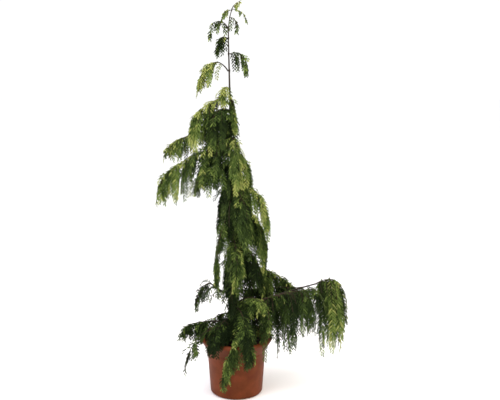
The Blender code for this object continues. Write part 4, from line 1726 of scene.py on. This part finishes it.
    def build(self) -> None:
        """Grow the whole crown and join it by kind into pieces."""
        self.build_boughs()
        for name, mass in self.masses.items():
            self.grow_mass(name, mass)
        self.grow_inner()
        for number, (points, faces) in enumerate(self.twigs.portions(MOST_TRIANGLES), 1):
            piece = mesh_object(f"hanging_twigs_{number}", points, faces, self.bark.make())
            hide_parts(*self.masses)
        for green, store in self.shapes.items():
            material = green.value.make()
            kind = green.name.lower()
            for number, (points, faces) in enumerate(store.portions(MOST_TRIANGLES), 1):
                piece = mesh_object(f"{kind}_sprays_{number}", points, faces, material, smooth=False)
                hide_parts(*self.masses)


def smooth_path(coarse: Array, count: int) -> Array:
    """Round off a limb with a curve that passes through its coarse points.

    Args:
        coarse: the source's points.
        count: how many points the curve gets.

    Returns:
        The curve's points.
    """
    places = np.arange(len(coarse))
    padded = np.concatenate([[2 * coarse[0] - coarse[1]], coarse, [2 * coarse[-1] - coarse[-2]]])
    where = np.linspace(0.0, len(coarse) - 1.0, count)
    low = np.minimum(where.astype(int), places[-2])
    t = (where - low)[:, None]
    a, b, c, d = (padded[low + k] for k in range(4))
    square = (2 * a - 5 * b + 4 * c - d) * t ** 2
    cube = (3 * b - a - 3 * c + d) * t ** 3
    return 0.5 * (2 * b + (c - a) * t + square + cube)


@dataclass(frozen=True)
class Softbox:
    """One soft light: its place, its width and height, its power in watts and its colour."""

    name: str
    place: tuple[float, float, float]
    size: Span
    power: float
    colour: str

    def hang(self, aim: Vector) -> None:
        """Hang it so that it faces a point.

        Args:
            aim: the point.
        """
        data = bpy.data.lights.new(self.name, "AREA")
        data.shape = "RECTANGLE"
        data.size, data.size_y = self.size
        data.energy = self.power
        data.color = linear(self.colour)[:3]
        light = bpy.data.objects.new(self.name, data)
        light.location = self.place
        light.rotation_euler = (aim - Vector(self.place)).to_track_quat("-Z", "Y").to_euler()
        bpy.context.scene.collection.objects.link(light)


@dataclass
class Studio:
    """The plain pale floor, the soft lights and the camera."""

    camera_place: tuple[float, float, float] = (0.057, -3.6, 1.569)
    camera_pitch: float = 11.75
    focal_px: float = 908.4
    frame_px: float = 500.0
    sensor_mm: float = 36.0
    floor_radius: float = 14.0
    floor_depth: float = 0.02
    floor_gap: float = 0.0002
    floor_segments: int = 96
    aim: tuple[float, float, float] = (0.0, 0.0, 0.75)
    sky: str = "#ffffff"
    sky_strength: float = 1.06
    finish: PaintedBoard = PaintedBoard("white_studio_board_painted", "#fafafa", 0.9, 1.4)
    softboxes: tuple[Softbox, ...] = (
        Softbox("left_softbox", (-2.2, -2.4, 3.3), (2.4, 2.4), 82.0, "#faf6ff"),
        Softbox("right_softbox", (2.6, -1.8, 2.4), (1.6, 1.8), 34.0, "#fff0dc"),
        Softbox("top_softbox", (0.2, -1.6, 4.4), (2.0, 1.6), 80.0, "#ffffff"),
        Softbox("left_strip", (-2.5, -0.9, 0.8), (0.7, 1.8), 26.0, "#ffe6ee"),
        Softbox("right_strip", (2.5, -0.8, 0.8), (0.7, 1.8), 26.0, "#ffdcae"),
    )

    def build(self) -> None:
        """Set the whole studio."""
        self.add_camera()
        self.add_floor()
        self.add_world()
        for softbox in self.softboxes:
            softbox.hang(Vector(self.aim))
        view = bpy.context.scene.view_settings
        view.view_transform = "Standard"
        view.look = "None"

    def add_camera(self) -> None:
        """Stand the camera a little above the plant's middle and look slightly down."""
        data = bpy.data.cameras.new("studio_camera")
        data.sensor_width = self.sensor_mm
        data.lens = self.focal_px * self.sensor_mm / self.frame_px
        camera = bpy.data.objects.new("studio_camera", data)
        camera.location = self.camera_place
        camera.rotation_euler = (math.radians(90.0 - self.camera_pitch), 0.0, 0.0)
        bpy.context.scene.collection.objects.link(camera)
        bpy.context.scene.camera = camera

    def add_floor(self) -> None:
        """Lay the floor as one wide disc."""
        low, high = -self.floor_depth, -self.floor_gap
        profile = [(0.0, low), (self.floor_radius, low), (self.floor_radius, high), (0.0, high)]
        points, faces = lathe(profile, self.floor_segments)
        floor = mesh_object("studio_floor", points, faces, self.finish.make(), smooth=False)

    def add_world(self) -> None:
        """Surround the set with even white light."""
        world = bpy.data.worlds.new("white_studio")
        world.use_nodes = True
        background = world.node_tree.nodes["Background"]
        background.inputs["Color"].default_value = linear(self.sky)
        background.inputs["Strength"].default_value = self.sky_strength
        bpy.context.scene.world = world


def main() -> None:
    """Build the studio and the plant."""
    logging.basicConfig(level=logging.INFO, format="%(name)s: %(message)s")
    Studio().build()
    pot = Pot()
    pot.build()
    Bed(pot).build()
    log.info("pot and compost are in place")
    trunk = Trunk()
    crown = Crown(trunk, pot)
    stems = [*crown.boughs.values(), *crown.masses.values()]
    trunk.build([(stem.at, stem.azimuth, stem.root) for stem in stems if stem.at is not None])
    log.info("the trunk is in place, with a collar under each of its limbs")
    crown.build()
    total = sum(store.triangles() for store in crown.shapes.values()) + crown.twigs.triangles()
    log.info("the crown has %d triangles", total)


if __name__ == "__main__":
    main()
